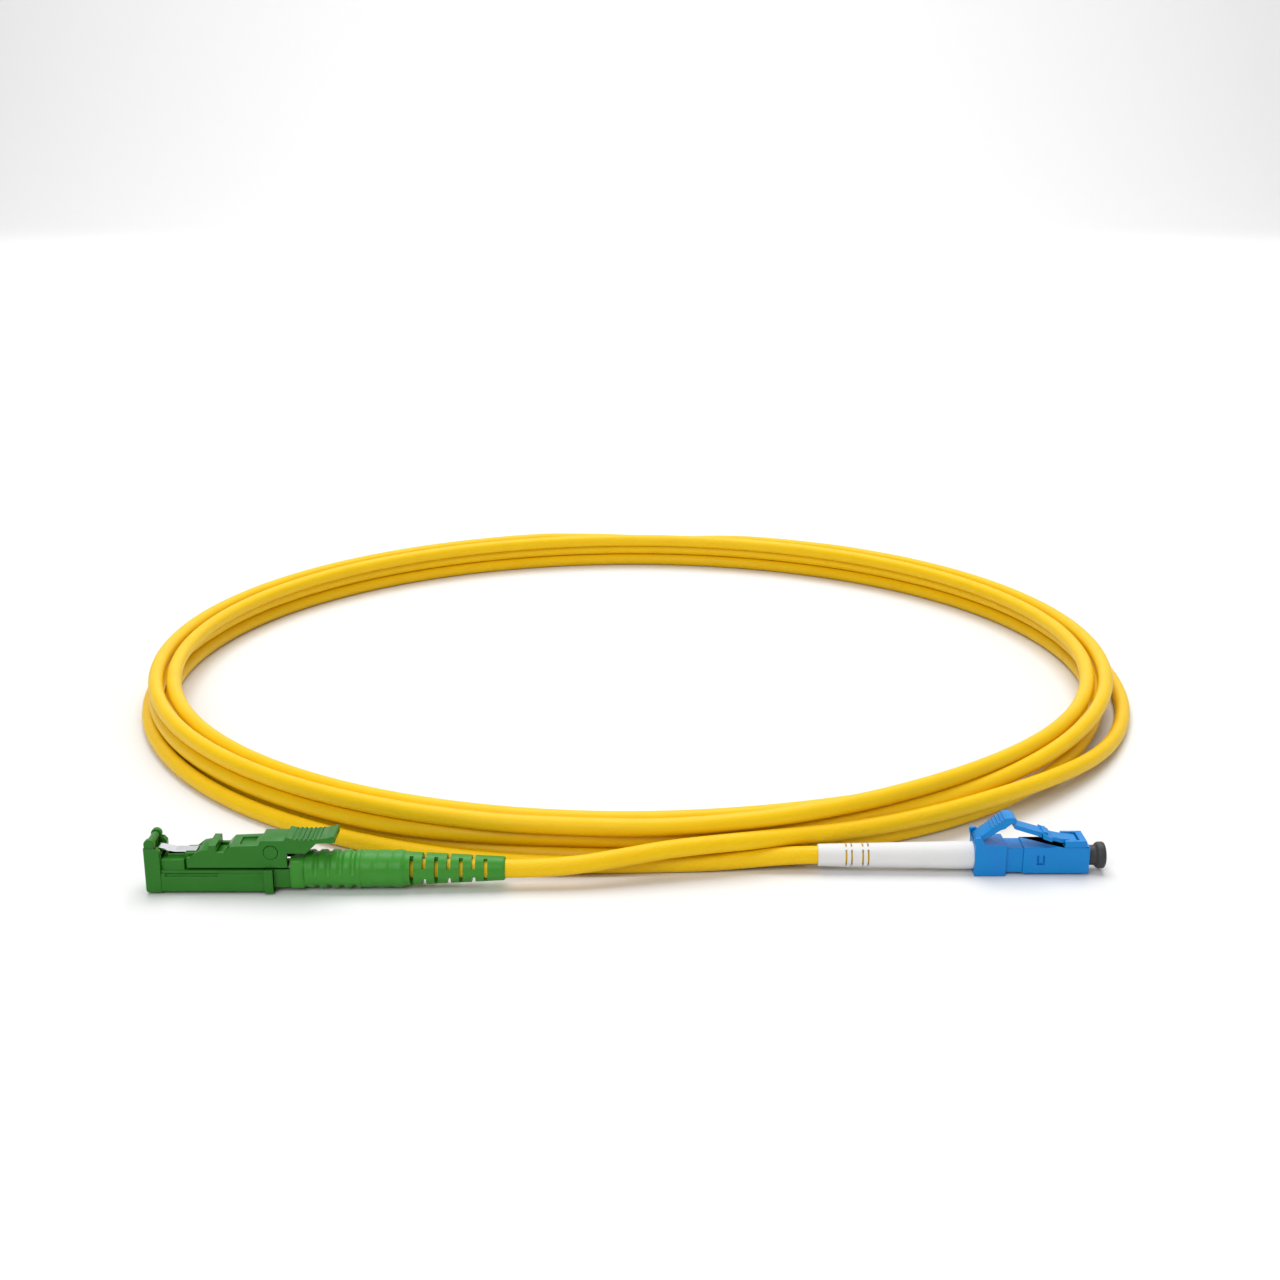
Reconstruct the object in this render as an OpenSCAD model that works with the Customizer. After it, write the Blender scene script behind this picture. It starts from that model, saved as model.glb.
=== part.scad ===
// Fibre patch cord: a shuttered push-pull plug on one end, a small latch plug on the
// other, and a coiled simplex cord between them. Millimetres, +Z up, floor at z = 0.
// The origin is on the floor, midway between the two plugs, and +X runs along both.

/* [Cord] */
// Outside diameter of the cord's jacket
cord_d = 3; // [2.4:0.1:3.2]
// Diameter of the tight buffer that runs on into each plug
buffer_d = 0.9; // [0.6:0.1:1]
// Radius of the cord's middle line in the coil's stacked turns
stack_r = 98.3; // [98:0.1:99]

/* [Layout] */
// Distance between the outer ends of the two plugs
span = 154.4; // [150:0.2:180]
// Distance between the two plugs' middle lines, across the plugs
lane_gap = 6.4; // [6:0.1:9]
// Distance from the shuttered plug's middle line to the middle of the coil
ring_from_lane = 107; // [106:0.1:110]

/* [Shuttered plug] */
// Length of the plug's body in front of its boot
e_body_l = 22.9; // [21:0.1:28]
// Width of the lower body and of the front frame
e_w = 6; // [5.6:0.1:7]
// Height of the middle of the plug above the floor
e_axis_z = 3.2; // [3.2:0.05:4]
// Underside of the body, below the middle line
e_drop = 2.7; // [2.5:0.05:2.9]
// Height of the lower body
e_lower_h = 3.5; // [3.3:0.1:3.6]
// Height of the front frame
e_frame_h = 8.1; // [7.8:0.1:8.6]
// Length of the front frame
e_frame_l = 2.5; // [2.2:0.1:3]
// Diameter of the ceramic ferrule
e_ferrule_d = 2.5; // [2.5:0.01:2.5]
// Angle of the polished ferrule face
e_face_angle = 8; // [0:1:9]
// Travel of the sprung ferrule
e_float = 1; // [0.4:0.1:1.2]
// Diameter of the lever's pivot pin in the body's core
e_pin_d = 1.2; // [1:0.1:1.3]
// Diameter of the pin's two heads, which the lever's cheeks turn on
e_head_d = 2.2; // [1.8:0.1:2.4]
// Distance from the front of the plug to the lever's pivot
e_pivot_x = 20; // [19:0.1:20.6]
// Length of the lever behind its pivot
e_tail_l = 10.3; // [9:0.1:12]
// Wall of the lever's cheeks
e_cheek_t = 0.7; // [0.5:0.05:0.9]

/* [Shuttered plug boot] */
// Length of the boot
e_boot_l = 34; // [30:0.5:44]
// Diameter of the boot's barrel
e_boot_d = 6.3; // [6:0.1:6.4]
// Diameter of the boot's tip
e_tip_d = 3.8; // [3.6:0.1:4.2]
// Number of slot pairs in the boot's tail
e_slots = 7; // [3:1:7]

/* [Latch plug] */
// Side of the square front housing
lc_w = 4.52; // [4.52:0.01:4.52]
// Length of the front housing
lc_housing_l = 10.8; // [10:0.1:13]
// Length of the body between the housing and the rear clip
lc_mid_l = 2.8; // [2.4:0.1:3.4]
// Side of the square rear clip
lc_clip_w = 5.3; // [5.1:0.1:5.8]
// Length of the rear clip
lc_clip_l = 5.1; // [4.6:0.1:6]
// Diameter of the ceramic ferrule
lc_ferrule_d = 1.25; // [1.25:0.01:1.25]
// Ferrule length that stands out of the housing
lc_proud = 0.6; // [0.3:0.1:1.2]
// Travel of the sprung ferrule
lc_float = 1; // [0.4:0.1:1.2]
// Height of the latch arm's free end above the housing
lc_latch_rise = 3.6; // [3:0.1:4]
// Thickness of the latch and trigger arms
lc_arm_t = 0.85; // [0.7:0.05:1]
// Width of the latch arm
lc_latch_w = 2.8; // [2.4:0.1:3.2]
// Width of the trigger arm
lc_trigger_w = 3.6; // [3:0.1:4]

/* [Latch plug boot and cap] */
// Length of the boot
lc_boot_l = 25.3; // [22:0.1:32]
// Diameter of the boot where it meets the rear clip
lc_boot_d = 4.5; // [4.3:0.1:5]
// Diameter of the boot's tip
lc_tip_d = 3.7; // [3.5:0.1:4]
// Diameter of the dust cap's shaft
cap_shaft_d = 3.3; // [3:0.05:3.4]
// Diameter of the dust cap's head
cap_head_d = 4.4; // [3.8:0.1:4.5]
// Length of the dust cap outside the housing
cap_out_l = 2.9; // [2.4:0.1:5]
// Length of the dust cap inside the housing
cap_in_l = 4.2; // [3:0.1:4.6]

/* [Fits] */
// Gap round parts that slide or turn, on the radius
running = 0.05; // [0.03:0.01:0.08]
// Gap between soft or sprung parts and what they pass
loose = 0.2; // [0.15:0.05:0.3]

/* [Hidden] */
$fn = 48;
eps = 0.01;

green = [0.19, 0.47, 0.14];
blue = [0.0, 0.52, 0.82];
yellow = [0.97, 0.82, 0.16];
white = [0.93, 0.93, 0.92];
steel = [0.72, 0.73, 0.75];
grey = [0.3, 0.3, 0.31];
ceramic = [0.97, 0.97, 0.95];

// Places of the plugs and of the coil
e_x = -span / 2;
e_y = -lane_gap / 2 + (e_boot_d - lc_clip_w) / 4;
lc_x = span / 2 - cap_out_l;
lc_y = e_y + lane_gap;
lc_axis_z = lc_clip_w / 2;
ring_x = -0.7;
ring_y = e_y + ring_from_lane;

// Heights in the shuttered plug, measured from its middle line
e_bottom = -e_drop;
e_ledge = e_bottom + e_lower_h;
e_frame_bottom = e_bottom - 0.2;
e_frame_top = e_frame_bottom + e_frame_h;
e_groove = 0.35;
e_core_w = e_w - 2 * (e_cheek_t + 0.5 + loose);
e_core_top = e_frame_top - 1.8;
e_pivot_z = e_ledge + 3;
e_roof = e_frame_top - 0.9;
e_lever_w = e_w - 1;
e_lever_x = 6.6;
e_block_top = e_frame_top + 0.6;
e_boss_top = e_pivot_z + e_pin_d / 2 + 0.35;
e_pad_top = e_frame_top + 1.4;
e_hinge_x = 0.9;
e_hinge_z = e_frame_top - 0.05;
e_hinge_r = 0.62;
e_hinge_pin_r = 0.3;
e_window_w = 3.6;
e_hinge_pin_l = e_window_w + 1.4;
e_mouth_d = e_ferrule_d + 1.4;
e_mouth_l = 6.2;
e_step_x = e_mouth_l - 0.1;
e_spigot_d = 2;
e_holder_d = 3.1;
e_bore_d = e_holder_d + 2 * running;
e_holder_x = e_mouth_l + 0.5;
e_holder_l = 5;
e_pocket = 1.2;
e_tip_x = 1.6 + e_float;
e_spring_x = e_holder_x + 1.6;
e_spring_r = 1.25;
e_spring_wire = 0.3;
e_post_r = e_bore_d / 2 - 0.02;
e_post_x = 15;
e_sleeve_l = 10;
e_collar_x = 18.8;
e_boot_x = e_body_l;
e_cord_x = e_boot_x + e_sleeve_l;
boot_bore = cord_d + 0.1;

// Places in the latch plug, measured back from the front face of its housing
lc_mid_x = lc_housing_l;
lc_clip_x = lc_mid_x + lc_mid_l;
lc_boot_x = lc_clip_x + lc_clip_l;
lc_half = lc_w / 2;
lc_hole_d = cap_shaft_d + 2 * running;
cap_bore_d = cap_shaft_d - 0.9;
lc_holder_d = 2.7;
lc_bore_d = lc_holder_d + 2 * running;
lc_post_r = lc_bore_d / 2 - 0.02;
lc_holder_x = cap_in_l + 0.6;
lc_pocket = 1;
lc_step_x = cap_in_l + 0.2;
lc_spigot_d = 0.9;
lc_spring_r = 1.15;
lc_spring_wire = 0.3;
lc_root_x = 2.2;
lc_root_r = 0.4;
lc_root_z = lc_half + 0.5;
lc_root_w = lc_latch_w + 1.2;
lc_trigger_root_w = lc_trigger_w + 1.2;
lc_tip_x = 12.4;
lc_trigger_root_x = lc_clip_x + lc_clip_l - 0.5;
lc_trigger_root_z = lc_clip_w / 2 + 0.55;
lc_apex_x = lc_tip_x + 0.3;
lc_trigger_slope = 0.729;
lc_apex_z = max(lc_half + lc_latch_rise + 1.35,
    lc_trigger_root_z + lc_trigger_slope * (lc_trigger_root_x - lc_apex_x));
lc_post_x = 12;
lc_sleeve_x = lc_boot_x - 2;
lc_sleeve_l = 9;
lc_cord_x = lc_sleeve_x + lc_sleeve_l;

// Point on a circle round the coil's middle: angle from +X, radius, height
function around(angle, radius, height) = [radius * cos(angle), radius * sin(angle), height];

// Each lead's end in its plug, from the coil's middle
lead_e_end = [e_x + e_cord_x - ring_x, -ring_from_lane, e_axis_z];
lead_lc_end = [lc_x - lc_cord_x - ring_x, lane_gap - ring_from_lane, lc_axis_z];

// Route of each lead from the coil's middle, chosen by hand
lead_e_route = [
    lead_e_end, [-30, -107, 3.2], [-16, -107, 3.2], [-8, -106.5, 3.6],
    [-1, -105.3, 4.3], [6, -103.7, 4.9], [13, -102.1, 5.1], [20, -100.4, 5.1],
    around(-74, 101.7, 4.8), around(-69, 101.8, 4.6), around(-64, 101.9, 4.5),
    around(-58, 102.1, 4.5), around(-52, 102.5, 4.5), around(-46, 102.9, 4.2),
    around(-40, 103.3, 3.6), around(-34, 103.8, 2.9), around(-28, 104, 2.2),
    around(-22, 104, 1.7), around(-16, 104, 1.5), around(-10, 103.9, 1.5),
    around(-4, 103.8, 1.5), around(2, 103.8, 1.5), around(8, 103.7, 1.5),
    around(14, 103.7, 1.5), around(20, 103.6, 1.5), around(26, 103.6, 1.5),
    around(32, 103.5, 1.5), around(38, 103.5, 1.5), around(44, 103.4, 1.5),
    around(50, 103.3, 1.7), around(56, 103.1, 2.1), around(62, 102.9, 2.6),
    around(68, 102.7, 3.1), around(74, 102.6, 3.7), around(80, 102.5, 4.5),
    around(86, 102.4, 5.4), around(92, 102, 6.3)
];
lead_lc_route = [
    around(56, 100.9, 7.4), around(62, 102.2, 7.5), around(68, 103.8, 7.2),
    around(74, 105.2, 6.6), around(80, 106, 5.7), around(86, 106.1, 4.6),
    around(92, 106, 3.5), around(98, 105.5, 2.6), around(104, 104.8, 1.9),
    around(110, 104.1, 1.5), around(117, 103.5, 1.5), around(124, 103, 1.5),
    around(131, 102.6, 1.5), around(138, 102.3, 1.5), around(145, 102.1, 1.5),
    around(152, 101.9, 1.5), around(159, 101.8, 1.5), around(166, 101.8, 1.5),
    around(173, 101.7, 1.5), around(180, 101.7, 1.5), around(187, 101.7, 1.5),
    around(194, 101.8, 1.5), around(201, 102, 1.5), around(208, 102.1, 1.5),
    around(215, 102.3, 1.5), around(222, 102.5, 1.5), around(229, 102.7, 1.5),
    around(236, 102.8, 1.5), around(243, 103, 1.5), around(250, 103.1, 1.5),
    around(256, 103, 1.5), around(262, 102.6, 1.5), [-4, -101.7, 1.5],
    [5, -101.4, 1.5], [13, -101.1, 1.6], [20, -100.7, 2], [26, -100.6, 2.5],
    [31, -100.6, 2.65], [40, -100.6, 2.65], lead_lc_end
];

// ---------------------------------------------------------------- shared shapes

// Puts its children into the shuttered plug's place: x runs back from the plug's front
module at_e2000() {
    translate([e_x, e_y, e_axis_z]) children();
}

// Puts its children into the latch plug's place: x runs back from the housing's front
module at_lc() {
    translate([lc_x, lc_y, lc_axis_z]) rotate([0, 0, 180]) children();
}

// Block from x0 to x1, w wide about the middle line, from z0 to z1
module block(x0, x1, w, z0, z1) {
    translate([x0, -w / 2, z0]) cube([x1 - x0, w, z1 - z0]);
}

// Plate of a side outline in x and z, w wide about the middle line
module plate(outline, w) {
    rotate([90, 0, 0]) linear_extrude(height = w, center = true) polygon(outline);
}

// Rod of diameter d along x from x0 to x1
module rod(x0, x1, d) {
    translate([x0, 0, 0]) rotate([0, 90, 0]) cylinder(d = d, h = x1 - x0);
}

// Rod of diameter d across the plug, w long, at x and z
module cross_rod(x, z, d, w) {
    translate([x, 0, z]) rotate([90, 0, 0]) cylinder(d = d, h = w, center = true);
}

// Turned solid about x of an outline in x and radius
module turned(outline) {
    rotate([0, 90, 0]) rotate_extrude() polygon([for (p = outline) [p[1], p[0]]]);
}

// Square bar with rounded corners along x from x0 to x1
module soft_bar(x0, x1, side, corner) {
    inner = side - 2 * corner;
    union() {
        block(x0, x1, side, -inner / 2, inner / 2);
        block(x0, x1, inner, -side / 2, side / 2);
        for (y = [-1, 1], z = [-1, 1]) {
            translate([0, y * inner / 2, z * inner / 2]) rod(x0, x1, 2 * corner);
        }
    }
}

// Tube whose rings of points are given, closed at both ends
module ringed_tube(rings) {
    last = len(rings) - 1;
    sides = len(rings[0]);
    points = [for (ring = rings, p = ring) p];
    walls = [for (i = [0:last - 1], k = [0:sides - 1])
        let (m = (k + 1) % sides)
        [i * sides + k, (i + 1) * sides + k, (i + 1) * sides + m, i * sides + m]];
    near_end = [for (k = [0:sides - 1]) k];
    far_end = [for (k = [0:sides - 1]) (last + 1) * sides - 1 - k];
    polyhedron(points, concat([near_end, far_end], walls), convexity = 12);
}

// Helical spring about x from x0 to x1
module coil_spring(x0, x1, radius, wire, turns) {
    steps = turns * 12;
    rise = x1 - x0 - wire;
    ringed_tube([for (i = [0:steps])
        let (a = 360 * turns * i / steps, out = [0, cos(a), sin(a)])
        [for (k = [0:5])
            [x0 + wire / 2 + rise * i / steps, 0, 0] + radius * out
                + wire / 2 * (cos(60 * k) * out + [sin(60 * k), 0, 0])]]);
}

// Sideways direction of a route at a point, level with the floor
function side_of(t) = let (n = norm([t[0], t[1]])) [-t[1] / n, t[0] / n, 0];

// Tube of diameter d swept along a route's points with 8 sides
module swept_tube(route, d) {
    last = len(route) - 1;
    ringed_tube([for (i = [0:last])
        let (t = route[min(i + 1, last)] - route[max(i - 1, 0)])
        let (u = t / norm(t), side = side_of(u), up = cross(u, side))
        [for (k = [0:7])
            let (a = 45 * (k + 0.5))
            route[i] + d / 2 * (cos(a) * side + sin(a) * up)]]);
}

// ---------------------------------------------------------------- shuttered plug

// Lower body with its rails, and the narrow core that the lever straddles
module e2000_housing() {
    rail_in = 0.3;
    color(green) at_e2000() difference() {
        union() {
            block(e_frame_l, e_boot_x - 2.6, e_w, e_bottom, e_ledge - 0.5);
            block(e_frame_l, e_boot_x - 2.6, e_w - 2 * rail_in, e_ledge - 0.5, e_ledge);
            block(e_frame_l, e_boot_x, e_w - 1.4, e_bottom + 0.4, e_ledge - eps);
            block(e_frame_l, e_lever_x - 0.4, e_w - 2 * rail_in - 0.6, e_ledge - eps, e_ledge + 1.7);
            block(e_lever_x - 0.4 - eps, e_pivot_x + 1.4, e_core_w, e_ledge - eps, e_core_top);
            block(3.4, 6.2, e_core_w - 0.6, e_ledge, e_core_top - 0.3);
            block(e_pivot_x - 1, e_pivot_x + 1, e_core_w, e_core_top - eps, e_boss_top);
        }
        rod(-1, e_mouth_l, e_mouth_d);
        rod(e_mouth_l - 1, e_holder_x, e_ferrule_d + 2 * running);
        rod(e_holder_x, e_boot_x + 1, e_bore_d);
        cross_rod(e_pivot_x, e_pivot_z, e_pin_d, e_w);
        // long side grooves over the rails
        for (s = [-1, 1]) translate([0, s * (e_w / 2), 0])
            block(3.2, 11.5, 0.7, e_ledge - 0.95, e_ledge - 0.5 + eps);
        // pocket for the shutter's leaf spring
        block(3.6, 8, 2.1, e_core_top - 1.6, e_core_top + 1);
    }
}

// Front frame with the window that the shutter closes and two hinge ears
module e2000_front_frame() {
    color(green) at_e2000() difference() {
        union() {
            plate([[0.25, e_frame_bottom], [e_frame_l, e_frame_bottom], [e_frame_l, e_frame_top - 1.2],
                [e_frame_l - 0.5, e_frame_top - 0.6], [0, e_frame_top - 0.6], [0, e_frame_bottom + 0.3]], e_w);
            for (s = [-1, 1]) translate([0, s * (e_window_w / 2 + 0.45), 0]) {
                cross_rod(e_hinge_x, e_hinge_z, 2 * e_hinge_r + 0.5, 0.9);
                block(0.1, e_hinge_x + 0.8, 0.9, e_frame_top - 1.2, e_hinge_z);
            }
        }
        block(-1, e_frame_l + 1, e_window_w, e_bottom + 0.7, e_frame_top + 2);
        cross_rod(e_hinge_x, e_hinge_z, 2 * (e_hinge_pin_r + 0.005), e_hinge_pin_l + 2 * running);
    }
    // top cross bar behind the window, which ties the two sides
    color(green) at_e2000()
        block(e_frame_l - 0.7, e_frame_l, e_window_w + eps, e_ledge + 2.3, e_frame_top - 1.9);
}

// Shutter flap: barrel on the hinge pin and a leaf that closes the window
module e2000_shutter() {
    flap_w = e_window_w - 2 * loose;
    color(green) at_e2000() difference() {
        union() {
            cross_rod(e_hinge_x, e_hinge_z, 2 * e_hinge_r, flap_w);
            plate([[0.3, e_bottom + 0.9], [1.1, e_bottom + 0.9], [1.3, e_bottom + 1.5],
                [1.3, e_hinge_z], [0.3, e_hinge_z]], flap_w);
        }
        cross_rod(e_hinge_x, e_hinge_z, 2 * (e_hinge_pin_r + running), e_w);
    }
}

// Pin through the ears and the shutter's barrel
module e2000_shutter_pin() {
    color(green) at_e2000() cross_rod(e_hinge_x, e_hinge_z, 2 * e_hinge_pin_r, e_hinge_pin_l);
}

// Leaf spring that keeps the shutter shut, lying along the top of the body
module e2000_shutter_spring() {
    color(steel) at_e2000() {
        plate([[1.75, e_core_top + 0.45], [4.4, e_core_top - 0.1], [7.9, e_core_top - 0.1],
            [7.9, e_core_top + 0.1], [4.5, e_core_top + 0.1], [1.85, e_core_top + 0.65]], 1.9);
        block(7.6, 7.9, 1.9, e_core_top - 1.6, e_core_top);
    }
}

// Rocking lever: cheeks and roof over the core, catch rib in front, thumb pad behind
module e2000_lever() {
    low = e_ledge + e_groove;
    tail = e_pivot_x + e_tail_l;
    heel = e_pivot_x + 2.5;
    pad_low = e_boot_d / 2 + 0.45;
    color(green) at_e2000() difference() {
        union() {
            plate([[e_lever_x, low], [heel, low], [heel, pad_low], [heel + 3.1, pad_low],
                [heel + 4.8, pad_low + 1.7], [tail, pad_low + 1.8],
                [tail, e_pad_top - 0.3], [tail - 0.2, e_pad_top], [tail - 1.3, e_pad_top - 0.35],
                [e_pivot_x + 6.2, e_block_top + 0.1], [e_pivot_x + 3.6, e_block_top + 0.2],
                [e_pivot_x + 2.6, e_pad_top - 0.2], [e_pivot_x + 2.2, e_block_top],
                [e_pivot_x - 1.5, e_block_top], [e_pivot_x - 1.9, e_roof + 0.7],
                [e_pivot_x - 6.4, e_roof + 0.5],
                [e_pivot_x - 7.4, e_roof - 0.5], [e_pivot_x - 8.6, e_roof - 0.5],
                [e_pivot_x - 8.6, e_roof + 0.7], [e_pivot_x - 9.8, e_roof + 0.7], [e_pivot_x - 9.8, e_roof],
                [e_lever_x + 2, e_roof - 0.3], [e_lever_x + 0.6, e_roof - 1.4], [e_lever_x, e_roof - 1.4]],
                e_lever_w);
        }
        // channel for the core and the pin's boss
        block(e_lever_x - 1, heel + 0.5, e_core_w + 2 * loose, low - 1, e_core_top + 0.45);
        block(e_pivot_x - 1.3, e_pivot_x + 1.3, e_core_w + 2 * loose, low - 1, e_boss_top + 0.3);
        // shallow window in the roof
        block(e_pivot_x - 5, e_pivot_x - 2.6, e_core_w - 0.4, e_roof + 0.2, e_roof + 2);
        cross_rod(e_pivot_x, e_pivot_z, e_head_d + 2 * running, e_w + 2);
    }
    // ribs of the thumb pad
    color(green) at_e2000() for (i = [0:6])
        cross_rod(e_pivot_x + 3.6 + i * 0.72, e_block_top + 0.2, 0.3, e_lever_w);
}

// Pivot pin of the lever, fixed in the core, with a head in each cheek
module e2000_lever_pin() {
    half = e_core_w / 2 + loose / 2;
    color(green) at_e2000() {
        cross_rod(e_pivot_x, e_pivot_z, e_pin_d, 2 * half + eps);
        for (s = [-1, 1]) translate([0, s * (half + e_cheek_t / 2 + 0.1), 0])
            cross_rod(e_pivot_x, e_pivot_z, e_head_d, e_cheek_t + 0.2);
    }
}

// Locking collar round the rear of the body
module e2000_collar() {
    color(green) at_e2000() difference() {
        block(e_collar_x, e_collar_x + 1.5, e_w + 0.6, e_bottom - 0.25, e_ledge + 0.25);
        block(e_collar_x - 1, e_collar_x + 3, e_w, e_bottom, e_ledge + 1);
    }
}

// Ceramic ferrule with its slanted end face
module e2000_ferrule() {
    color(ceramic) at_e2000() difference() {
        turned([[e_tip_x, 0], [e_tip_x, e_ferrule_d / 2 - 0.25], [e_tip_x + 0.4, e_ferrule_d / 2],
            [e_step_x, e_ferrule_d / 2], [e_step_x, e_spigot_d / 2],
            [e_holder_x + e_pocket, e_spigot_d / 2], [e_holder_x + e_pocket, 0]]);
        translate([e_tip_x, 0, 0]) rotate([0, e_face_angle, 0]) translate([-2, -2, -2]) cube([2, 4, 4]);
        rod(e_tip_x - 1, e_holder_x + 3, 0.2);
    }
}

// Metal holder that the ferrule is pressed into
module e2000_ferrule_holder() {
    color(steel) at_e2000() difference() {
        turned([[e_holder_x, 0], [e_holder_x, e_holder_d / 2], [e_holder_x + 1.6, e_holder_d / 2],
            [e_holder_x + 1.6, 1], [e_holder_x + e_holder_l, 1], [e_holder_x + e_holder_l, 0]]);
        rod(e_holder_x - 1, e_holder_x + e_pocket, e_spigot_d);
        rod(e_holder_x, e_holder_x + e_holder_l + 1, buffer_d + 2 * running);
    }
}

// Spring behind the holder's flange
module e2000_ferrule_spring() {
    color(steel) at_e2000()
        coil_spring(e_spring_x + 0.02, e_post_x - 0.02, e_spring_r, e_spring_wire, 6);
}

// Back post that closes the bore, holds the spring and carries the crimp
module e2000_back_post() {
    color(steel) at_e2000() difference() {
        turned([[e_post_x, 0], [e_post_x, e_post_r], [e_boot_x - 1, e_post_r], [e_boot_x - 1, 1.45],
            [e_boot_x + 6, 1.45], [e_boot_x + 6, 0]]);
        rod(e_post_x - 1, e_boot_x + 7, buffer_d + 0.6);
    }
}

// Crimp sleeve over the strength yarns on the back post
module e2000_crimp_sleeve() {
    color(steel) at_e2000() difference() {
        rod(e_boot_x, e_boot_x + e_sleeve_l, 3.7);
        rod(e_boot_x - 1, e_boot_x + 6, 3);
        rod(e_boot_x + 5, e_boot_x + e_sleeve_l + 1, buffer_d + 0.6);
    }
}

// Buffered fibre inside the plug, from the ferrule back to the cord
module e2000_fiber() {
    color(yellow) at_e2000() rod(e_holder_x + e_pocket, e_cord_x - e_float - loose, buffer_d);
}

// Slotted bend relief over the crimp and the cord
module e2000_boot() {
    tail_x = e_boot_x + 18.7;
    end_x = e_boot_x + e_boot_l;
    pitch = (end_x - tail_x - 1.6) / e_slots;
    slot_w = 0.6;
    color(green) at_e2000() difference() {
        union() {
            soft_bar(e_boot_x, e_boot_x + 2.1, 5.2, 0.8);
            turned([[e_boot_x + 2, 0], [e_boot_x + 2, e_boot_d / 2 - 0.25],
                [e_boot_x + 8, e_boot_d / 2 - 0.1], [e_boot_x + 11.2, e_boot_d / 2 - 0.1],
                [e_boot_x + 11.2, e_boot_d / 2 - 0.2], [tail_x, e_boot_d / 2 - 0.5],
                [end_x, e_tip_d / 2], [end_x, 0]]);
            for (i = [0:4]) rod(e_boot_x + 3 + 1.9 * i, e_boot_x + 3.7 + 1.9 * i, e_boot_d);
        }
        rod(e_boot_x + e_sleeve_l - eps, end_x + 1, boot_bore);
        rod(e_boot_x - 1, e_boot_x + e_sleeve_l, 3.8);
        for (i = [0:e_slots - 1]) {
            x = tail_x + 0.2 + pitch * i;
            turn = (i % 2) * 90;
            rotate([turn, 0, 0]) for (s = [-1, 1])
                translate([x, s > 0 ? 0.7 : -4.7, -3.5]) cube([slot_w, 4, 7]);
        }
    }
}

// ---------------------------------------------------------------- latch plug

// Square front housing with the ferrule's bore and a side window on each side
module lc_housing() {
    color(blue) at_lc() difference() {
        union() {
            block(0, lc_housing_l, lc_w, -lc_half, lc_half);
            block(lc_root_x - 1.6, lc_root_x + 1.9, lc_root_w + 0.5, lc_half - eps, lc_root_z + 0.6);
            block(lc_housing_l - eps, lc_mid_x + 1.2, 3.8, -1.9, 1.9);
        }
        rod(-1, cap_in_l + 0.3, lc_hole_d);
        rod(cap_in_l, lc_mid_x, lc_ferrule_d + 2 * running);
        rod(lc_holder_x, lc_mid_x + 3, lc_bore_d);
        // round seat of the latch's root, open to the rear for the arm
        cross_rod(lc_root_x, lc_root_z, 2 * (lc_root_r + running), lc_root_w + 2 * running);
        block(lc_root_x - 0.5, lc_root_x + 4, lc_latch_w + 2 * loose, lc_half + 0.02, lc_root_z + 2);
        // window with its catch tab
        for (s = [-1, 1]) translate([0, s * lc_half, 0]) difference() {
            block(7.3, 8.5, 0.7, -0.8, 0.8);
            block(7.55, 8.25, 0.8, -0.55, 1);
        }
    }
}

// Latch arm: round root at the front, catches halfway, free end over the rear clip
module lc_latch() {
    tip_z = lc_half + lc_latch_rise;
    drop = lc_arm_t;
    color(blue) at_lc() {
        union() {
            cross_rod(lc_root_x, lc_root_z, 2 * lc_root_r, lc_root_w);
            plate([[lc_root_x, lc_root_z - lc_root_r + 0.05], [4.8, lc_half + 0.48],
                [lc_tip_x - 0.4, tip_z - drop], [lc_tip_x, tip_z - drop + 0.2],
                [lc_tip_x, tip_z], [7.6, lc_half + 2.2], [7.6, lc_half + 2.35], [6.9, lc_half + 2.35],
                [6.6, lc_half + 1.6], [4.4, lc_half + 1.15], [lc_root_x, lc_root_z + lc_root_r]], lc_latch_w);
            plate([[6.2, lc_half + 0.9], [7.8, lc_half + 1.5], [7.8, lc_half + 2.3], [6.2, lc_half + 1.6]],
                lc_w);
        }
    }
}

// Body between the housing and the clip, which closes the housing's bore
module lc_rear_body() {
    color(blue) at_lc() difference() {
        union() {
            block(lc_mid_x, lc_clip_x + 0.6, lc_w - 0.3, -lc_half + 0.15, lc_half - 0.15);
            block(lc_clip_x - eps, lc_boot_x - 0.6, 3.8, -1.9, 1.9);
        }
        block(lc_mid_x - 1, lc_mid_x + 1.2 + 0.02, 3.82, -1.91, 1.91);
        rod(lc_mid_x - 1, lc_boot_x + 1, lc_bore_d);
    }
}

// Clip that snaps over the rear body and carries the trigger's root
module lc_clip() {
    half = lc_clip_w / 2;
    color(blue) at_lc() difference() {
        union() {
            block(lc_clip_x, lc_boot_x, lc_clip_w, -half, half);
            for (s = [-1, 1]) translate([0, s * (lc_trigger_w / 2 + 0.55), 0])
                plate([[lc_boot_x - 1.8, half - eps], [lc_boot_x, half - eps], [lc_boot_x + 0.3, half + 1],
                    [lc_boot_x + 0.1, half + 1.35], [lc_boot_x - 0.9, half + 1.35]], 0.6);
        }
        block(lc_clip_x - 1, lc_clip_x + 0.62, lc_w - 0.28, -lc_half + 0.14, lc_half - 0.14);
        block(lc_clip_x, lc_boot_x - 0.58, 3.82, -1.91, 1.91);
        rod(lc_clip_x, lc_boot_x + 1, 3.8);
        cross_rod(lc_trigger_root_x, lc_trigger_root_z, 2 * (lc_root_r + running),
            lc_trigger_root_w + 2 * running);
    }
}

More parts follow.
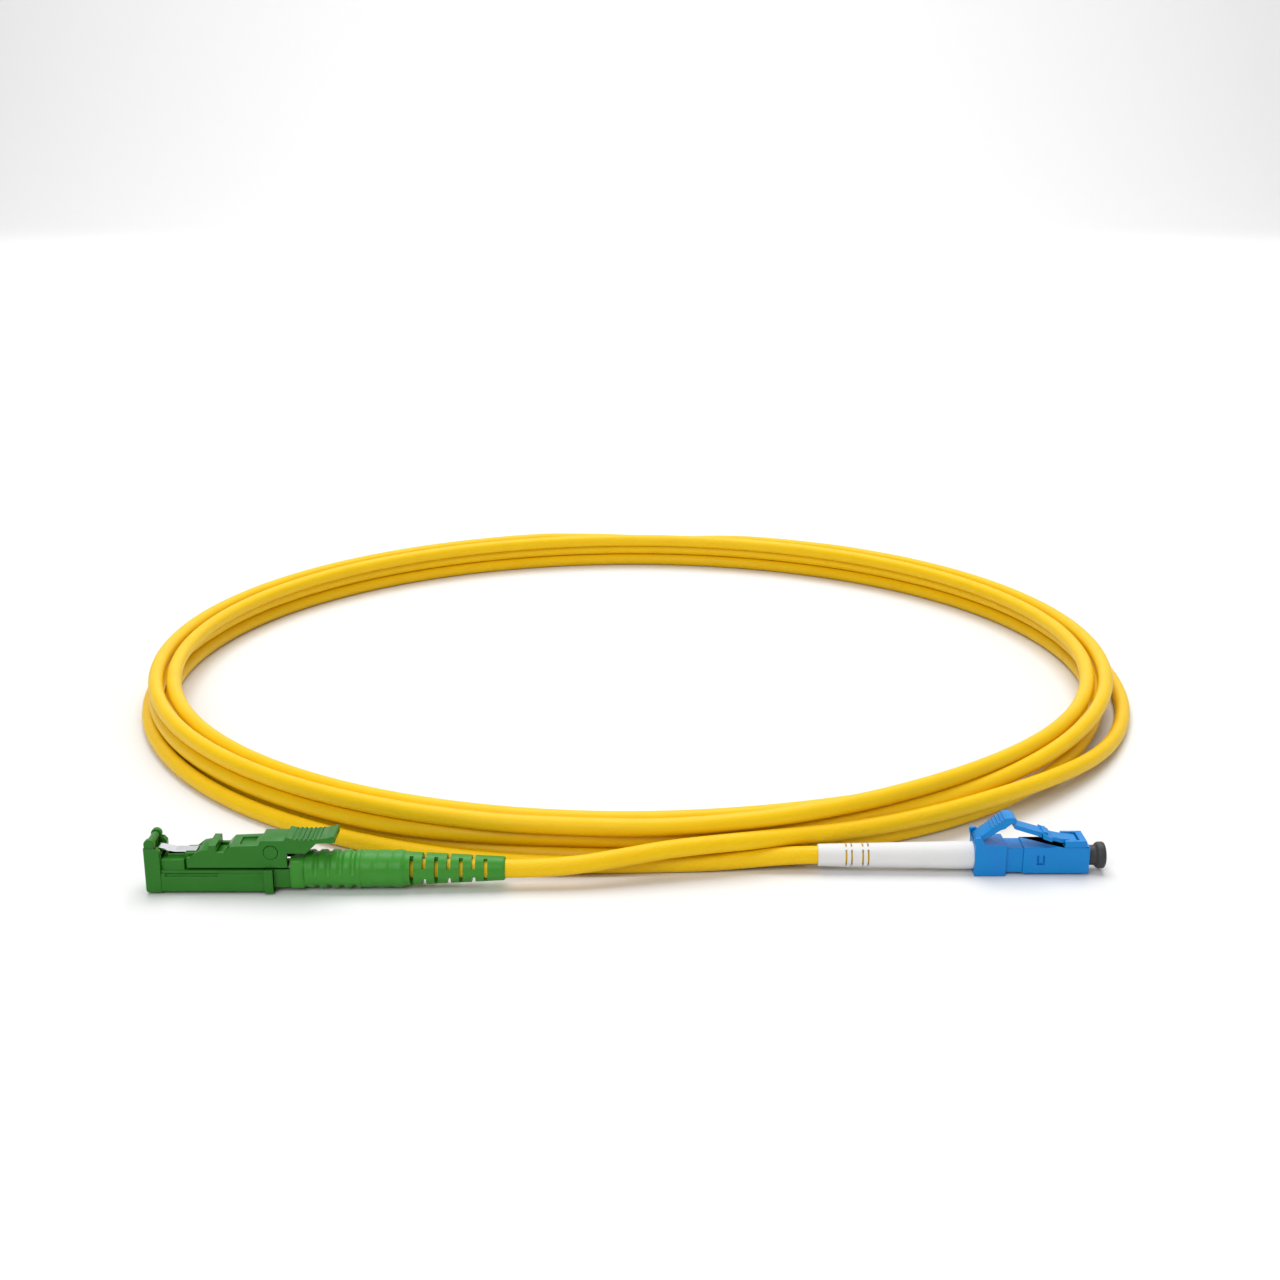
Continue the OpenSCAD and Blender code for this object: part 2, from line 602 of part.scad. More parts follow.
// Trigger arm: round root at the rear, ribbed thumb end over the latch's free end
module lc_trigger() {
    rx = lc_trigger_root_x;
    rz = lc_trigger_root_z;
    ax = lc_apex_x;
    az = lc_apex_z;
    color(blue) at_lc() union() {
        cross_rod(rx, rz, 2 * lc_root_r, lc_trigger_root_w);
        plate([[rx + 0.3, rz + 0.28], [rx - 0.3, rz - 0.25], [ax + 1.9, az - 2.1], [ax + 1.2, az - 1.9],
            [ax + 0.8, az - 1.5], [ax + 0.3, az - 1.1], [ax - 0.5, az - 0.9], [ax - 0.6, az - 0.3],
            [ax, az], [ax + 1, az]], lc_trigger_w);
        for (i = [0:4]) {
            t = 0.06 + 0.1 * i;
            x = (ax + 1) * (1 - t) + (rx + 0.3) * t;
            z = az * (1 - t) + (rz + 0.3) * t;
            cross_rod(x, z - 0.02, 0.36, lc_trigger_w);
        }
    }
}

// Ceramic ferrule
module lc_ferrule() {
    color(ceramic) at_lc() difference() {
        turned([[-lc_proud, 0], [-lc_proud, lc_ferrule_d / 2 - 0.15], [-lc_proud + 0.25, lc_ferrule_d / 2],
            [lc_step_x, lc_ferrule_d / 2], [lc_step_x, lc_spigot_d / 2],
            [lc_holder_x + lc_pocket, lc_spigot_d / 2], [lc_holder_x + lc_pocket, 0]]);
        rod(-2, lc_holder_x + 3, 0.2);
    }
}

// Metal holder that the ferrule is pressed into
module lc_ferrule_holder() {
    color(steel) at_lc() difference() {
        turned([[lc_holder_x, 0], [lc_holder_x, lc_holder_d / 2], [lc_holder_x + 1.3, lc_holder_d / 2],
            [lc_holder_x + 1.3, 0.9], [lc_holder_x + 4, 0.9], [lc_holder_x + 4, 0]]);
        rod(lc_holder_x - 1, lc_holder_x + lc_pocket, lc_spigot_d);
        rod(lc_holder_x, lc_holder_x + 5, buffer_d + 2 * running);
    }
}

// Spring behind the holder's flange
module lc_ferrule_spring() {
    color(steel) at_lc()
        coil_spring(lc_holder_x + 1.32, lc_post_x - 0.02, lc_spring_r, lc_spring_wire, 6);
}

// Back post that closes the bore and carries the crimp
module lc_back_post() {
    color(steel) at_lc() difference() {
        turned([[lc_post_x, 0], [lc_post_x, lc_post_r], [lc_sleeve_x + 5, lc_post_r], [lc_sleeve_x + 5, 0]]);
        rod(lc_post_x - 1, lc_sleeve_x + 6, buffer_d + 0.6);
    }
}

// Crimp sleeve over the strength yarns on the back post
module lc_crimp_sleeve() {
    color(steel) at_lc() difference() {
        rod(lc_boot_x, lc_cord_x, 3.5);
        rod(lc_boot_x - 1, lc_sleeve_x + 5, lc_bore_d);
        rod(lc_boot_x, lc_cord_x + 1, buffer_d + 0.6);
    }
}

// Buffered fibre inside the plug
module lc_fiber() {
    color(yellow) at_lc() rod(lc_holder_x + lc_pocket, lc_cord_x - lc_float - loose, buffer_d);
}

// Tapered bend relief with two pairs of slits
module lc_boot() {
    end_x = lc_boot_x + lc_boot_l;
    slit = 0.35;
    color(white) at_lc() difference() {
        turned([[lc_boot_x, 0], [lc_boot_x, lc_boot_d / 2], [lc_boot_x + 3, lc_boot_d / 2],
            [end_x, lc_tip_d / 2], [end_x, 0]]);
        rod(lc_cord_x - eps, end_x + 1, boot_bore);
        rod(lc_boot_x - 1, lc_cord_x, 3.6);
        for (x = [4.4, 5.3, 7.1, 8], s = [-1, 1])
            translate([end_x - x - slit, s > 0 ? 0.6 : -4.6, -3]) cube([slit, 4, 6]);
    }
}

// Dust cap pushed into the housing over the ferrule
module lc_dust_cap() {
    color(grey) at_lc() difference() {
        turned([[cap_in_l, 0], [cap_in_l, cap_shaft_d / 2 - 0.15], [cap_in_l - 0.3, cap_shaft_d / 2],
            [-1.1, cap_shaft_d / 2], [-1.3, cap_head_d / 2 - 0.25], [-1.7, cap_head_d / 2 - 0.1],
            [-cap_out_l + 0.3, cap_head_d / 2], [-cap_out_l, cap_head_d / 2 - 0.2], [-cap_out_l, 0]]);
        rod(-lc_proud - 0.6, cap_in_l + 1, cap_bore_d);
        rod(-cap_out_l - 1, -cap_out_l + 0.5, 2.4);
    }
}

// ---------------------------------------------------------------- cord

// Outer shape of the coil's stacked turns
module cord_coil() {
    r = stack_r;
    color(yellow) translate([ring_x, ring_y, 0]) rotate_extrude($fn = 96)
        polygon([[r - 4.8, 0], [r + 1.5, 0], [r + 1.5, 6.2], [r + 3.4, 7], [r + 3.4, 8.2],
            [r + 2.6, 8.8], [r - 2.4, 8.6], [r - 3.4, 7.6], [r - 5.5, 5], [r - 5.5, 1]]);
}

// Lead from the shuttered plug's crimp to the coil
module cord_lead_e2000() {
    color(yellow) translate([ring_x, ring_y, 0]) swept_tube(lead_e_route, cord_d);
}

// Lead from the coil to the latch plug's crimp
module cord_lead_lc() {
    color(yellow) translate([ring_x, ring_y, 0]) swept_tube(lead_lc_route, cord_d);
}

e2000_housing();
e2000_front_frame();
e2000_shutter();
e2000_shutter_pin();
e2000_shutter_spring();
e2000_lever();
e2000_lever_pin();
e2000_collar();
e2000_ferrule();
e2000_ferrule_holder();
e2000_ferrule_spring();
e2000_back_post();
e2000_crimp_sleeve();
e2000_fiber();
e2000_boot();
lc_housing();
lc_latch();
lc_rear_body();
lc_clip();
lc_trigger();
lc_ferrule();
lc_ferrule_holder();
lc_ferrule_spring();
lc_back_post();
lc_crimp_sleeve();
lc_fiber();
lc_boot();
lc_dust_cap();
cord_coil();
cord_lead_e2000();
cord_lead_lc();
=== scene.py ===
"""Dresses a coiled fibre patch cord: its two plugs, its boots and its yellow jacket.

Lengths in the classes are millimetres in the plugs' own places, as a maker would give
them; Plug.place() brings them to metres in the shared frame. New surfaces are worked
out as whole numpy arrays and handed to the mesh in one call.
"""

from __future__ import annotations

import logging
import math
from dataclasses import dataclass, field
from enum import Enum
from typing import Callable, Sequence

import bmesh
import bpy
import numpy as np
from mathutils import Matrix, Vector


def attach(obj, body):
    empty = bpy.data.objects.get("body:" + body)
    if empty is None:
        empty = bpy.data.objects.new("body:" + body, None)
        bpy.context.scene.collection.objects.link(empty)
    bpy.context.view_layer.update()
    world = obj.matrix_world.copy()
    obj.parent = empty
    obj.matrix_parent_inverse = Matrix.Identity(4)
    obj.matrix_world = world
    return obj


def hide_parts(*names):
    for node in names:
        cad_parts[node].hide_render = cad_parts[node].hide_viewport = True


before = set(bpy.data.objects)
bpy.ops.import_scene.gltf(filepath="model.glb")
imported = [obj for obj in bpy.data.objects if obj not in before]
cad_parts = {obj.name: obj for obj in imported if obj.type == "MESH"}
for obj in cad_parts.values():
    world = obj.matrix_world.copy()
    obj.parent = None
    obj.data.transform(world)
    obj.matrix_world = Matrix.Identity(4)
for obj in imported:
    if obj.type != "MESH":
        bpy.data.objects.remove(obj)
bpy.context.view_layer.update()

LOG = logging.getLogger("patch_cord")
MM = 0.001
MERGE_M = 2e-6
FLAT_ANGLE = math.radians(0.8)
CREASE_ANGLE = math.radians(30)
TURNED_CREASE_ANGLE = math.radians(40)
SLOTTED_CREASE_ANGLE = math.radians(35)
STATIC_BODY = "cord_and_plugs"

Array = np.ndarray
Colour = tuple[float, float, float]
Point = tuple[float, float, float]
Socket = bpy.types.NodeSocket


# ---------------------------------------------------------------- places


class Plug(Enum):
    """The two plugs, each with the point and direction that its sizes count from."""

    SHUTTERED = ((-77.2, -2.95, 3.2), 1.0)
    LATCH = ((74.3, 3.45, 2.65), -1.0)

    def place(self, local: Array) -> Array:
        """Brings a plug's own points to the shared frame.

        Args:
            local: points in millimetres, x running back from the plug's front.

        Returns:
            The same points in metres in the shared frame; the latch plug is turned half
            a turn about the vertical, so x and y change sign.
        """
        origin, sign = self.value
        turned = local * np.array([sign, sign, 1.0])
        return (turned + np.array(origin)) * MM


# ---------------------------------------------------------------- mesh making


def new_object(name: str, points: Array, faces: Sequence[Sequence[int]]) -> bpy.types.Object:
    """Makes a mesh object at the origin from whole arrays.

    Args:
        name: the object's name.
        points: corner places in metres, one row each.
        faces: corner numbers of each face, counted round so that it points outwards.

    Returns:
        The object, linked to the scene and shaded smooth.
    """
    mesh = bpy.data.meshes.new(name)
    mesh.from_pydata(np.asarray(points).tolist(), [], [list(map(int, f)) for f in faces])
    mesh.validate()
    mesh.polygons.foreach_set("use_smooth", np.ones(len(mesh.polygons), bool))
    obj = bpy.data.objects.new(name, mesh)
    bpy.context.scene.collection.objects.link(obj)
    return obj


def ring_quads(rings: int, sides: int, closed: bool = True) -> Array:
    """Quads of a tube whose corners are numbered ring by ring.

    Args:
        rings: number of rings along the tube.
        sides: corners in each ring.
        closed: whether the last side joins the first.

    Returns:
        One row of four corner numbers per quad: (i, k), (i, k+1), (i+1, k+1), (i+1, k).
    """
    i, k = np.meshgrid(
        np.arange(rings - 1), np.arange(sides if closed else sides - 1), indexing="ij"
    )
    i, k = i.ravel(), k.ravel()
    n = (k + 1) % sides
    return np.stack([i * sides + k, i * sides + n, (i + 1) * sides + n, (i + 1) * sides + k], 1)


def smooth_step(t: Array | float) -> Array:
    """Rises from 0 to 1 as 3t^2 - 2t^3, and stays flat outside."""
    t = np.clip(t, 0.0, 1.0)
    return t * t * (3.0 - 2.0 * t)


def soften(obj: bpy.types.Object, width: float, segments: int = 2, angle: float = 28.0) -> None:
    """Rounds an object's sharp edges with a live bevel and keeps its flats flat.

    Args:
        obj: the object.
        width: bevel width in millimetres.
        segments: steps across each rounded edge.
        angle: smallest edge angle that is rounded, in degrees.
    """
    bevel = obj.modifiers.new("soft_edges", "BEVEL")
    bevel.width = width * MM
    bevel.segments = segments
    bevel.limit_method = "ANGLE"
    bevel.angle_limit = math.radians(angle)
    bevel.harden_normals = True
    bevel.use_clamp_overlap = False


def merged_copy(node: str, name: str) -> bpy.types.Object:
    """Copies a moulded part of the frame with its loose triangles joined up.

    Args:
        node: the part's name in the frame.
        name: the new piece's name.

    Returns:
        The copy: doubles merged, flat neighbours dissolved into one face, smooth on its
        curves and creased where its faces turn more than 30 degrees.
    """
    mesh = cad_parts[node].data.copy()
    mesh.name = name
    mesh.materials.clear()
    work = bmesh.new()
    work.from_mesh(mesh)
    bmesh.ops.remove_doubles(work, verts=work.verts, dist=MERGE_M)
    bmesh.ops.dissolve_limit(
        work, angle_limit=FLAT_ANGLE, verts=work.verts, edges=work.edges
    )
    work.to_mesh(mesh)
    work.free()
    mesh.polygons.foreach_set("use_smooth", np.ones(len(mesh.polygons), bool))
    mesh.set_sharp_from_angle(angle=CREASE_ANGLE)
    obj = bpy.data.objects.new(name, mesh)
    bpy.context.scene.collection.objects.link(obj)
    return obj


def turned_piece(
    name: str, plug: Plug, profile: Sequence[tuple[float, float]], sides: int = 64
) -> bpy.types.Object:
    """Turns a closed outline about a plug's middle line.

    Each outline point (x, r) becomes a ring (x, r sin a, r cos a) with a going once
    round; the last ring joins the first, so the solid has no ends to close.

    Args:
        name: the piece's name.
        plug: the plug whose middle line it turns about.
        profile: outline points (x, r) in millimetres, counter-clockwise with x to the
            right and r upwards.
        sides: corners in each ring.

    Returns:
        The closed solid.
    """
    outline = np.array(profile, float)
    a = np.linspace(0.0, 2.0 * math.pi, sides, endpoint=False)
    x = np.repeat(outline[:, 0], sides)
    r = np.repeat(outline[:, 1], sides)
    a = np.tile(a, len(outline))
    local = np.stack([x, r * np.sin(a), r * np.cos(a)], 1)
    quads = ring_quads(len(outline), sides)
    last = (len(outline) - 1) * sides
    k = np.arange(sides)
    n = (k + 1) % sides
    closing = np.stack([last + k, last + n, n, k], 1)
    obj = new_object(name, plug.place(local), np.vstack([quads, closing]))
    face_outwards(obj)
    obj.data.set_sharp_from_angle(angle=TURNED_CREASE_ANGLE)
    return obj


def face_outwards(obj: bpy.types.Object) -> None:
    """Merges doubles and recalculates an object's normals so that its faces point out.

    Args:
        obj: the mesh object, changed in place.
    """
    work = bmesh.new()
    work.from_mesh(obj.data)
    bmesh.ops.remove_doubles(work, verts=work.verts, dist=1e-7)
    bmesh.ops.recalc_face_normals(work, faces=work.faces)
    work.to_mesh(obj.data)
    work.free()


def slotted_shell(
    name: str,
    plug: Plug,
    along: Array,
    around: Array,
    outer: Callable[[Array, Array], Array],
    inner: Callable[[Array], Array],
    solid: Callable[[Array, Array], Array],
) -> bpy.types.Object:
    """Makes a tube wall with openings cut right through it.

    The wall is a grid of cells between the stations along and around. A cell is kept
    where solid() says so. Each kept cell gives an outer and an inner quad, and each edge
    between a kept cell and a gap, or an end, gives a quad from the outer to the inner
    surface: outer(x, a) and inner(x) are the two radii.

    Args:
        name: the piece's name.
        plug: the plug whose middle line it runs about.
        along: stations along the middle line, in millimetres, rising.
        around: angles round it, in radians, rising, less than one full turn.
        outer: outer radius in millimetres at (x, angle).
        inner: inner radius in millimetres at x.
        solid: whether a cell is kept, from its middle (x, angle).

    Returns:
        The closed wall.
    """
    nx, na = len(along), len(around)
    grid_x, grid_a = np.meshgrid(along, around, indexing="ij")
    layers = []
    for radius in (outer(grid_x, grid_a), np.broadcast_to(inner(grid_x), grid_x.shape)):
        layers.append(
            np.stack([grid_x, radius * np.sin(grid_a), radius * np.cos(grid_a)], -1)
        )
    points = np.concatenate([layer.reshape(-1, 3) for layer in layers])
    mid_x = (along[:-1] + along[1:]) / 2
    gap = np.diff(np.append(around, around[0] + 2 * math.pi))
    cell_x, cell_a = np.meshgrid(mid_x, around + gap / 2, indexing="ij")
    kept = solid(cell_x, cell_a)

    def corner(i: Array, k: Array, layer: int) -> Array:
        """Corner number of station i, angle k on the outer (0) or inner (1) surface."""
        return layer * nx * na + i * na + k % na

    i, k = np.nonzero(kept)
    faces = []
    for layer in (0, 1):
        here, beside = corner(i, k, layer), corner(i, k + 1, layer)
        ahead, across = corner(i + 1, k, layer), corner(i + 1, k + 1, layer)
        quad = [here, ahead, across, beside] if layer else [here, beside, across, ahead]
        faces.append(np.stack(quad, 1))
    padded = np.zeros((nx + 1, na), bool)
    padded[1:nx] = kept
    for front in (True, False):
        edge = padded[1:] & ~padded[:-1] if front else padded[:-1] & ~padded[1:]
        i, k = np.nonzero(edge)
        wall = [corner(i, k, 0), corner(i, k, 1), corner(i, k + 1, 1), corner(i, k + 1, 0)]
        faces.append(np.stack(wall if front else wall[::-1], 1))
    for first in (True, False):
        neighbour = np.roll(kept, 1 if first else -1, axis=1)
        i, k = np.nonzero(kept & ~neighbour)
        k = k if first else k + 1
        wall = [corner(i, k, 0), corner(i + 1, k, 0), corner(i + 1, k, 1), corner(i, k, 1)]
        faces.append(np.stack(wall if first else wall[::-1], 1))
    quads = np.vstack(faces)
    used, renumbered = np.unique(quads, return_inverse=True)
    obj = new_object(name, plug.place(points[used]), renumbered.reshape(quads.shape))
    face_outwards(obj)
    obj.data.set_sharp_from_angle(angle=SLOTTED_CREASE_ANGLE)
    return obj


# ---------------------------------------------------------------- finishes


class Recipe:
    """One material's nodes, put together a step at a time round a surface shader."""

    def __init__(self, name: str) -> None:
        """Starts a material of that name with an empty surface shader.

        Args:
            name: the material's name.
        """
        self.material = bpy.data.materials.new(name)
        self.material.use_nodes = True
        self.tree = self.material.node_tree
        self.tree.nodes.clear()
        self.output = self.tree.nodes.new("ShaderNodeOutputMaterial")
        self.shader = self.tree.nodes.new("ShaderNodeBsdfPrincipled")
        self.tree.links.new(self.shader.outputs["BSDF"], self.output.inputs["Surface"])
        self.place = self.tree.nodes.new("ShaderNodeTexCoord").outputs["Object"]

    def set(self, **values: float | Colour) -> None:
        """Sets the shader's own sockets; an underscore in a name stands for a space."""
        for key, value in values.items():
            socket = self.shader.inputs[key.replace("_", " ")]
            socket.default_value = (*value, 1.0) if isinstance(value, tuple) else value

    def feed(self, source: Socket, socket: str) -> None:
        """Links a node's result to one of the shader's sockets."""
        self.tree.links.new(source, self.shader.inputs[socket])

    def noise(self, size_mm: float, detail: float = 3.0, stretch: Point = (1, 1, 1)) -> Socket:
        """Soft noise in space.

        Args:
            size_mm: size of one lump, in millimetres.
            detail: octaves of finer noise.
            stretch: how much longer lumps are along x, y and z.

        Returns:
            The noise's value, from 0 to 1.
        """
        mapping = self.tree.nodes.new("ShaderNodeMapping")
        mapping.inputs["Scale"].default_value = tuple(1.0 / s for s in stretch)
        self.tree.links.new(self.place, mapping.inputs["Vector"])
        node = self.tree.nodes.new("ShaderNodeTexNoise")
        node.inputs["Scale"].default_value = 1.0 / (size_mm * MM)
        node.inputs["Detail"].default_value = detail
        node.inputs["Roughness"].default_value = 0.55
        self.tree.links.new(mapping.outputs["Vector"], node.inputs["Vector"])
        return node.outputs["Fac"]

    def pebbles(self, size_mm: float) -> Socket:
        """Rounded pebble heights, smoothed cell distances of that size.

        Args:
            size_mm: width of a pebble, in millimetres.

        Returns:
            The height, roughly 0 to 1.
        """
        node = self.tree.nodes.new("ShaderNodeTexVoronoi")
        node.feature = "SMOOTH_F1"
        node.inputs["Scale"].default_value = 1.0 / (size_mm * MM)
        node.inputs["Smoothness"].default_value = 0.6
        self.tree.links.new(self.place, node.inputs["Vector"])
        return node.outputs["Distance"]

    def blend(self, factor: Socket, low: Colour, high: Colour) -> Socket:
        """Runs from one colour to another as a value goes from 0.25 to 0.75.

        Args:
            factor: the value.
            low: colour at 0.25 and below.
            high: colour at 0.75 and above.

        Returns:
            The mixed colour.
        """
        ramp = self.tree.nodes.new("ShaderNodeValToRGB")
        ramp.color_ramp.elements[0].position = 0.25
        ramp.color_ramp.elements[1].position = 0.75
        ramp.color_ramp.elements[0].color = (*low, 1.0)
        ramp.color_ramp.elements[1].color = (*high, 1.0)
        self.tree.links.new(factor, ramp.inputs["Fac"])
        return ramp.outputs["Color"]

    def spread(self, factor: Socket, low: float, high: float) -> Socket:
        """Stretches a value from 0..1 to low..high.

        Args:
            factor: the value.
            low: result at 0.
            high: result at 1.

        Returns:
            The stretched value.
        """
        node = self.tree.nodes.new("ShaderNodeMapRange")
        node.inputs["To Min"].default_value = low
        node.inputs["To Max"].default_value = high
        self.tree.links.new(factor, node.inputs["Value"])
        return node.outputs["Result"]

    def roughen(self, size_mm: float, low: float, high: float, detail: float = 2.0) -> None:
        """Varies the roughness from low to high in lumps of a size."""
        self.feed(self.spread(self.noise(size_mm, detail), low, high), "Roughness")

    def times(self, a: Socket, b: Socket) -> Socket:
        """Product of two values.

        Args:
            a: the first value.
            b: the second value.

        Returns:
            Their product.
        """
        node = self.tree.nodes.new("ShaderNodeMath")
        node.operation = "MULTIPLY"
        self.tree.links.new(a, node.inputs[0])
        self.tree.links.new(b, node.inputs[1])
        return node.outputs["Value"]

    def attribute(self, name: str) -> Socket:
        """A value stored on the piece's own mesh.

        Args:
            name: the attribute's name.

        Returns:
            The stored value.
        """
        node = self.tree.nodes.new("ShaderNodeAttribute")
        node.attribute_name = name
        return node.outputs["Fac"]

    def bump(
        self,
        height: Socket,
        depth_mm: float,
        strength: float = 1.0,
        under: Socket | None = None,
    ) -> Socket:
        """Raises the surface by a height, over an earlier bump if one is given.

        Args:
            height: the height's value, 0 to 1.
            depth_mm: height of a value of 1, in millimetres.
            strength: share of the bump that shows.
            under: normal of the bump beneath.

        Returns:
            The new normal.
        """
        node = self.tree.nodes.new("ShaderNodeBump")
        node.inputs["Distance"].default_value = depth_mm * MM
        node.inputs["Strength"].default_value = strength
        self.tree.links.new(height, node.inputs["Height"])
        if under is not None:
            self.tree.links.new(under, node.inputs["Normal"])
        return node.outputs["Normal"]


@dataclass(frozen=True)
class MouldedPlastic:
    """Glossy injection-moulded housing plastic with a faint mottle and orange peel."""

    name: str
    colour: Colour
    mottle: Colour
    roughness: float = 0.3
    coat: float = 0.04
    gloss: float = 0.22
    mottle_mm: float = 3.2
    peel_mm: float = 0.35
    peel_depth_mm: float = 0.004

    def material(self) -> bpy.types.Material:
        """Builds the material.

        Returns:
            The finished material.
        """
        mix = Recipe(self.name)
        mix.set(
            Coat_Weight=self.coat,
            Coat_Roughness=0.2,
            Specular_IOR_Level=self.gloss,
            Subsurface_Weight=0.02,
            Subsurface_Scale=0.4 * MM,
        )
        mix.feed(mix.blend(mix.noise(self.mottle_mm, 4.0), self.colour, self.mottle), "Base Color")
        mix.roughen(0.9, self.roughness - 0.05, self.roughness + 0.07)
        mix.feed(mix.bump(mix.noise(self.peel_mm, 2.0), self.peel_depth_mm), "Normal")
        return mix.material


@dataclass(frozen=True)
class SoftBoot:
    """Soft moulded boot or cap: matt skin with fine grain and a little dust in it."""

    name: str
    colour: Colour
    mottle: Colour
    roughness: float = 0.5
    sheen: float = 0.02
    gloss: float = 0.25
    mottle_mm: float = 2.4
    grain_mm: float = 0.18
    grain_depth_mm: float = 0.008

    def material(self) -> bpy.types.Material:
        """Builds the material.

        Returns:
            The finished material.
        """
        mix = Recipe(self.name)
        mix.set(
            Specular_IOR_Level=self.gloss,
            Sheen_Weight=self.sheen,
            Sheen_Roughness=0.4,
            Subsurface_Weight=0.03,
            Subsurface_Scale=0.5 * MM,
        )
        mix.feed(mix.blend(mix.noise(self.mottle_mm, 4.0), self.colour, self.mottle), "Base Color")
        mix.roughen(0.6, self.roughness - 0.06, self.roughness + 0.08)
        mix.feed(mix.bump(mix.noise(self.grain_mm, 2.0), self.grain_depth_mm), "Normal")
        return mix.material


@dataclass(frozen=True)
class Jacket:
    """Extruded cord jacket: pebbled skin, deeper where the mesh's grain value says so."""

    name: str
    colour: Colour
    deep: Colour
    roughness: float = 0.42
    pebble_mm: float = 0.42
    pebble_depth_mm: float = 0.05
    roll_mm: float = 2.5
    roll_depth_mm: float = 0.02
    mottle_mm: float = 5.0
    gloss: float = 0.2
    scatter: Point = (1.0, 0.5, 0.1)

    def material(self) -> bpy.types.Material:
        """Builds the material.

        Returns:
            The finished material.
        """
        mix = Recipe(self.name)
        mix.set(
            Specular_IOR_Level=self.gloss, Subsurface_Weight=0.06, Subsurface_Scale=0.8 * MM
        )
        mix.shader.inputs["Subsurface Radius"].default_value = self.scatter
        mix.feed(mix.blend(mix.noise(self.mottle_mm, 5.0), self.deep, self.colour), "Base Color")
        mix.roughen(0.8, self.roughness - 0.06, self.roughness + 0.08, 3.0)
        height = mix.times(mix.pebbles(self.pebble_mm), mix.attribute("grain"))
        rolled = mix.bump(mix.noise(self.roll_mm, 2.0), self.roll_depth_mm)
        mix.feed(mix.bump(height, self.pebble_depth_mm, 1.0, rolled), "Normal")
        return mix.material


@dataclass(frozen=True)
class PlatedMetal:
    """Plated or drawn metal with fine turning lines round the plug's length."""

    name: str
    colour: Colour
    roughness: float = 0.22
    dulling: float = 0.86
    line_mm: float = 0.12
    line_depth_mm: float = 0.003

    def material(self) -> bpy.types.Material:
        """Builds the material.

        Returns:
            The finished material.
        """
        mix = Recipe(self.name)
        mix.set(Metallic=1.0)
        dull = tuple(self.dulling * c for c in self.colour)
        mix.feed(mix.blend(mix.noise(1.4, 3.0), dull, self.colour), "Base Color")
        lines = mix.noise(self.line_mm, 2.0, stretch=(1, 14, 14))
        mix.feed(mix.spread(lines, self.roughness - 0.08, self.roughness + 0.12), "Roughness")
        mix.feed(mix.bump(lines, self.line_depth_mm), "Normal")
        return mix.material


@dataclass(frozen=True)
class PolishedCeramic:
    """Polished zirconia: bright, faintly warm and a little translucent."""

    name: str
    colour: Colour
    dulling: float = 0.95

    def material(self) -> bpy.types.Material:
        """Builds the material.

        Returns:
            The finished material.
        """
        mix = Recipe(self.name)
        mix.set(IOR=2.1, Subsurface_Weight=0.15, Subsurface_Scale=0.3 * MM)
        dull = tuple(self.dulling * c for c in self.colour)
        mix.feed(mix.blend(mix.noise(0.8, 3.0), dull, self.colour), "Base Color")
        mix.roughen(0.3, 0.06, 0.14)
        return mix.material


@dataclass
class Finishes:
    """Every finish on the cord, built once and shared."""

    green: MouldedPlastic = MouldedPlastic(
        "green_housing", (0.02, 0.165, 0.01), (0.024, 0.18, 0.012)
    )
    green_boot: SoftBoot = SoftBoot(
        "green_boot", (0.04, 0.25, 0.02), (0.045, 0.265, 0.024), 0.36
    )
    blue: MouldedPlastic = MouldedPlastic(
        "blue_housing", (0.0, 0.235, 0.6), (0.006, 0.215, 0.62), 0.34
    )
    white_boot: SoftBoot = SoftBoot(
        "white_boot", (0.74, 0.735, 0.73), (0.76, 0.755, 0.75), 0.5, 0.0
    )
    cap: SoftBoot = SoftBoot(
        "dust_cap_rubber", (0.04, 0.04, 0.04), (0.052, 0.052, 0.052), 0.45, 0.05
    )
    jacket: Jacket = Jacket("yellow_jacket", (0.88, 0.56, 0.004), (0.85, 0.52, 0.003))
    buffer: SoftBoot = SoftBoot("fibre_buffer", (0.72, 0.6, 0.25), (0.78, 0.66, 0.3), 0.4, 0.0)
    ceramic: PolishedCeramic = PolishedCeramic("zirconia", (0.86, 0.85, 0.82))
    nickel: PlatedMetal = PlatedMetal("nickel_plate", (0.62, 0.6, 0.56), 0.28)
    spring: PlatedMetal = PlatedMetal("bright_spring", (0.8, 0.81, 0.83), 0.16)
    built: dict[str, bpy.types.Material] = field(default_factory=dict)

    def of(self, slot: str) -> bpy.types.Material:
        """Gives the material for one of the record's slots, building it at first use.

        Args:
            slot: the slot's name in the record.

        Returns:
            The slot's material.
        """
        by_slot = {
            "green_plastic": self.green,
            "green_boot": self.green_boot,
            "blue_plastic": self.blue,
            "white_boot": self.white_boot,
            "cap_grey": self.cap,
            "jacket": self.jacket,
            "buffer": self.buffer,
            "zirconia": self.ceramic,
            "nickel": self.nickel,
            "spring_steel": self.spring,
        }
        if slot not in self.built:
            self.built[slot] = by_slot[slot].material()
        return self.built[slot]


@dataclass
class Piece:
    """A visible piece, with what it stands for, rides on and is finished in."""

    obj: bpy.types.Object
    body: str
    slot: str
    stands_for: tuple[str, ...]

    def fit(self, finishes: Finishes) -> None:
        """Puts the piece on its body, in its finish and in place of its frame parts.

        Args:
            finishes: the shared finishes.
        """
        self.obj.data.materials.clear()
        self.obj.data.materials.append(finishes.of(self.slot))
        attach(self.obj, self.body)
        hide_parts(*self.stands_for)
        LOG.info("%s on %s: %d faces", self.obj.name, self.body, len(self.obj.data.polygons))


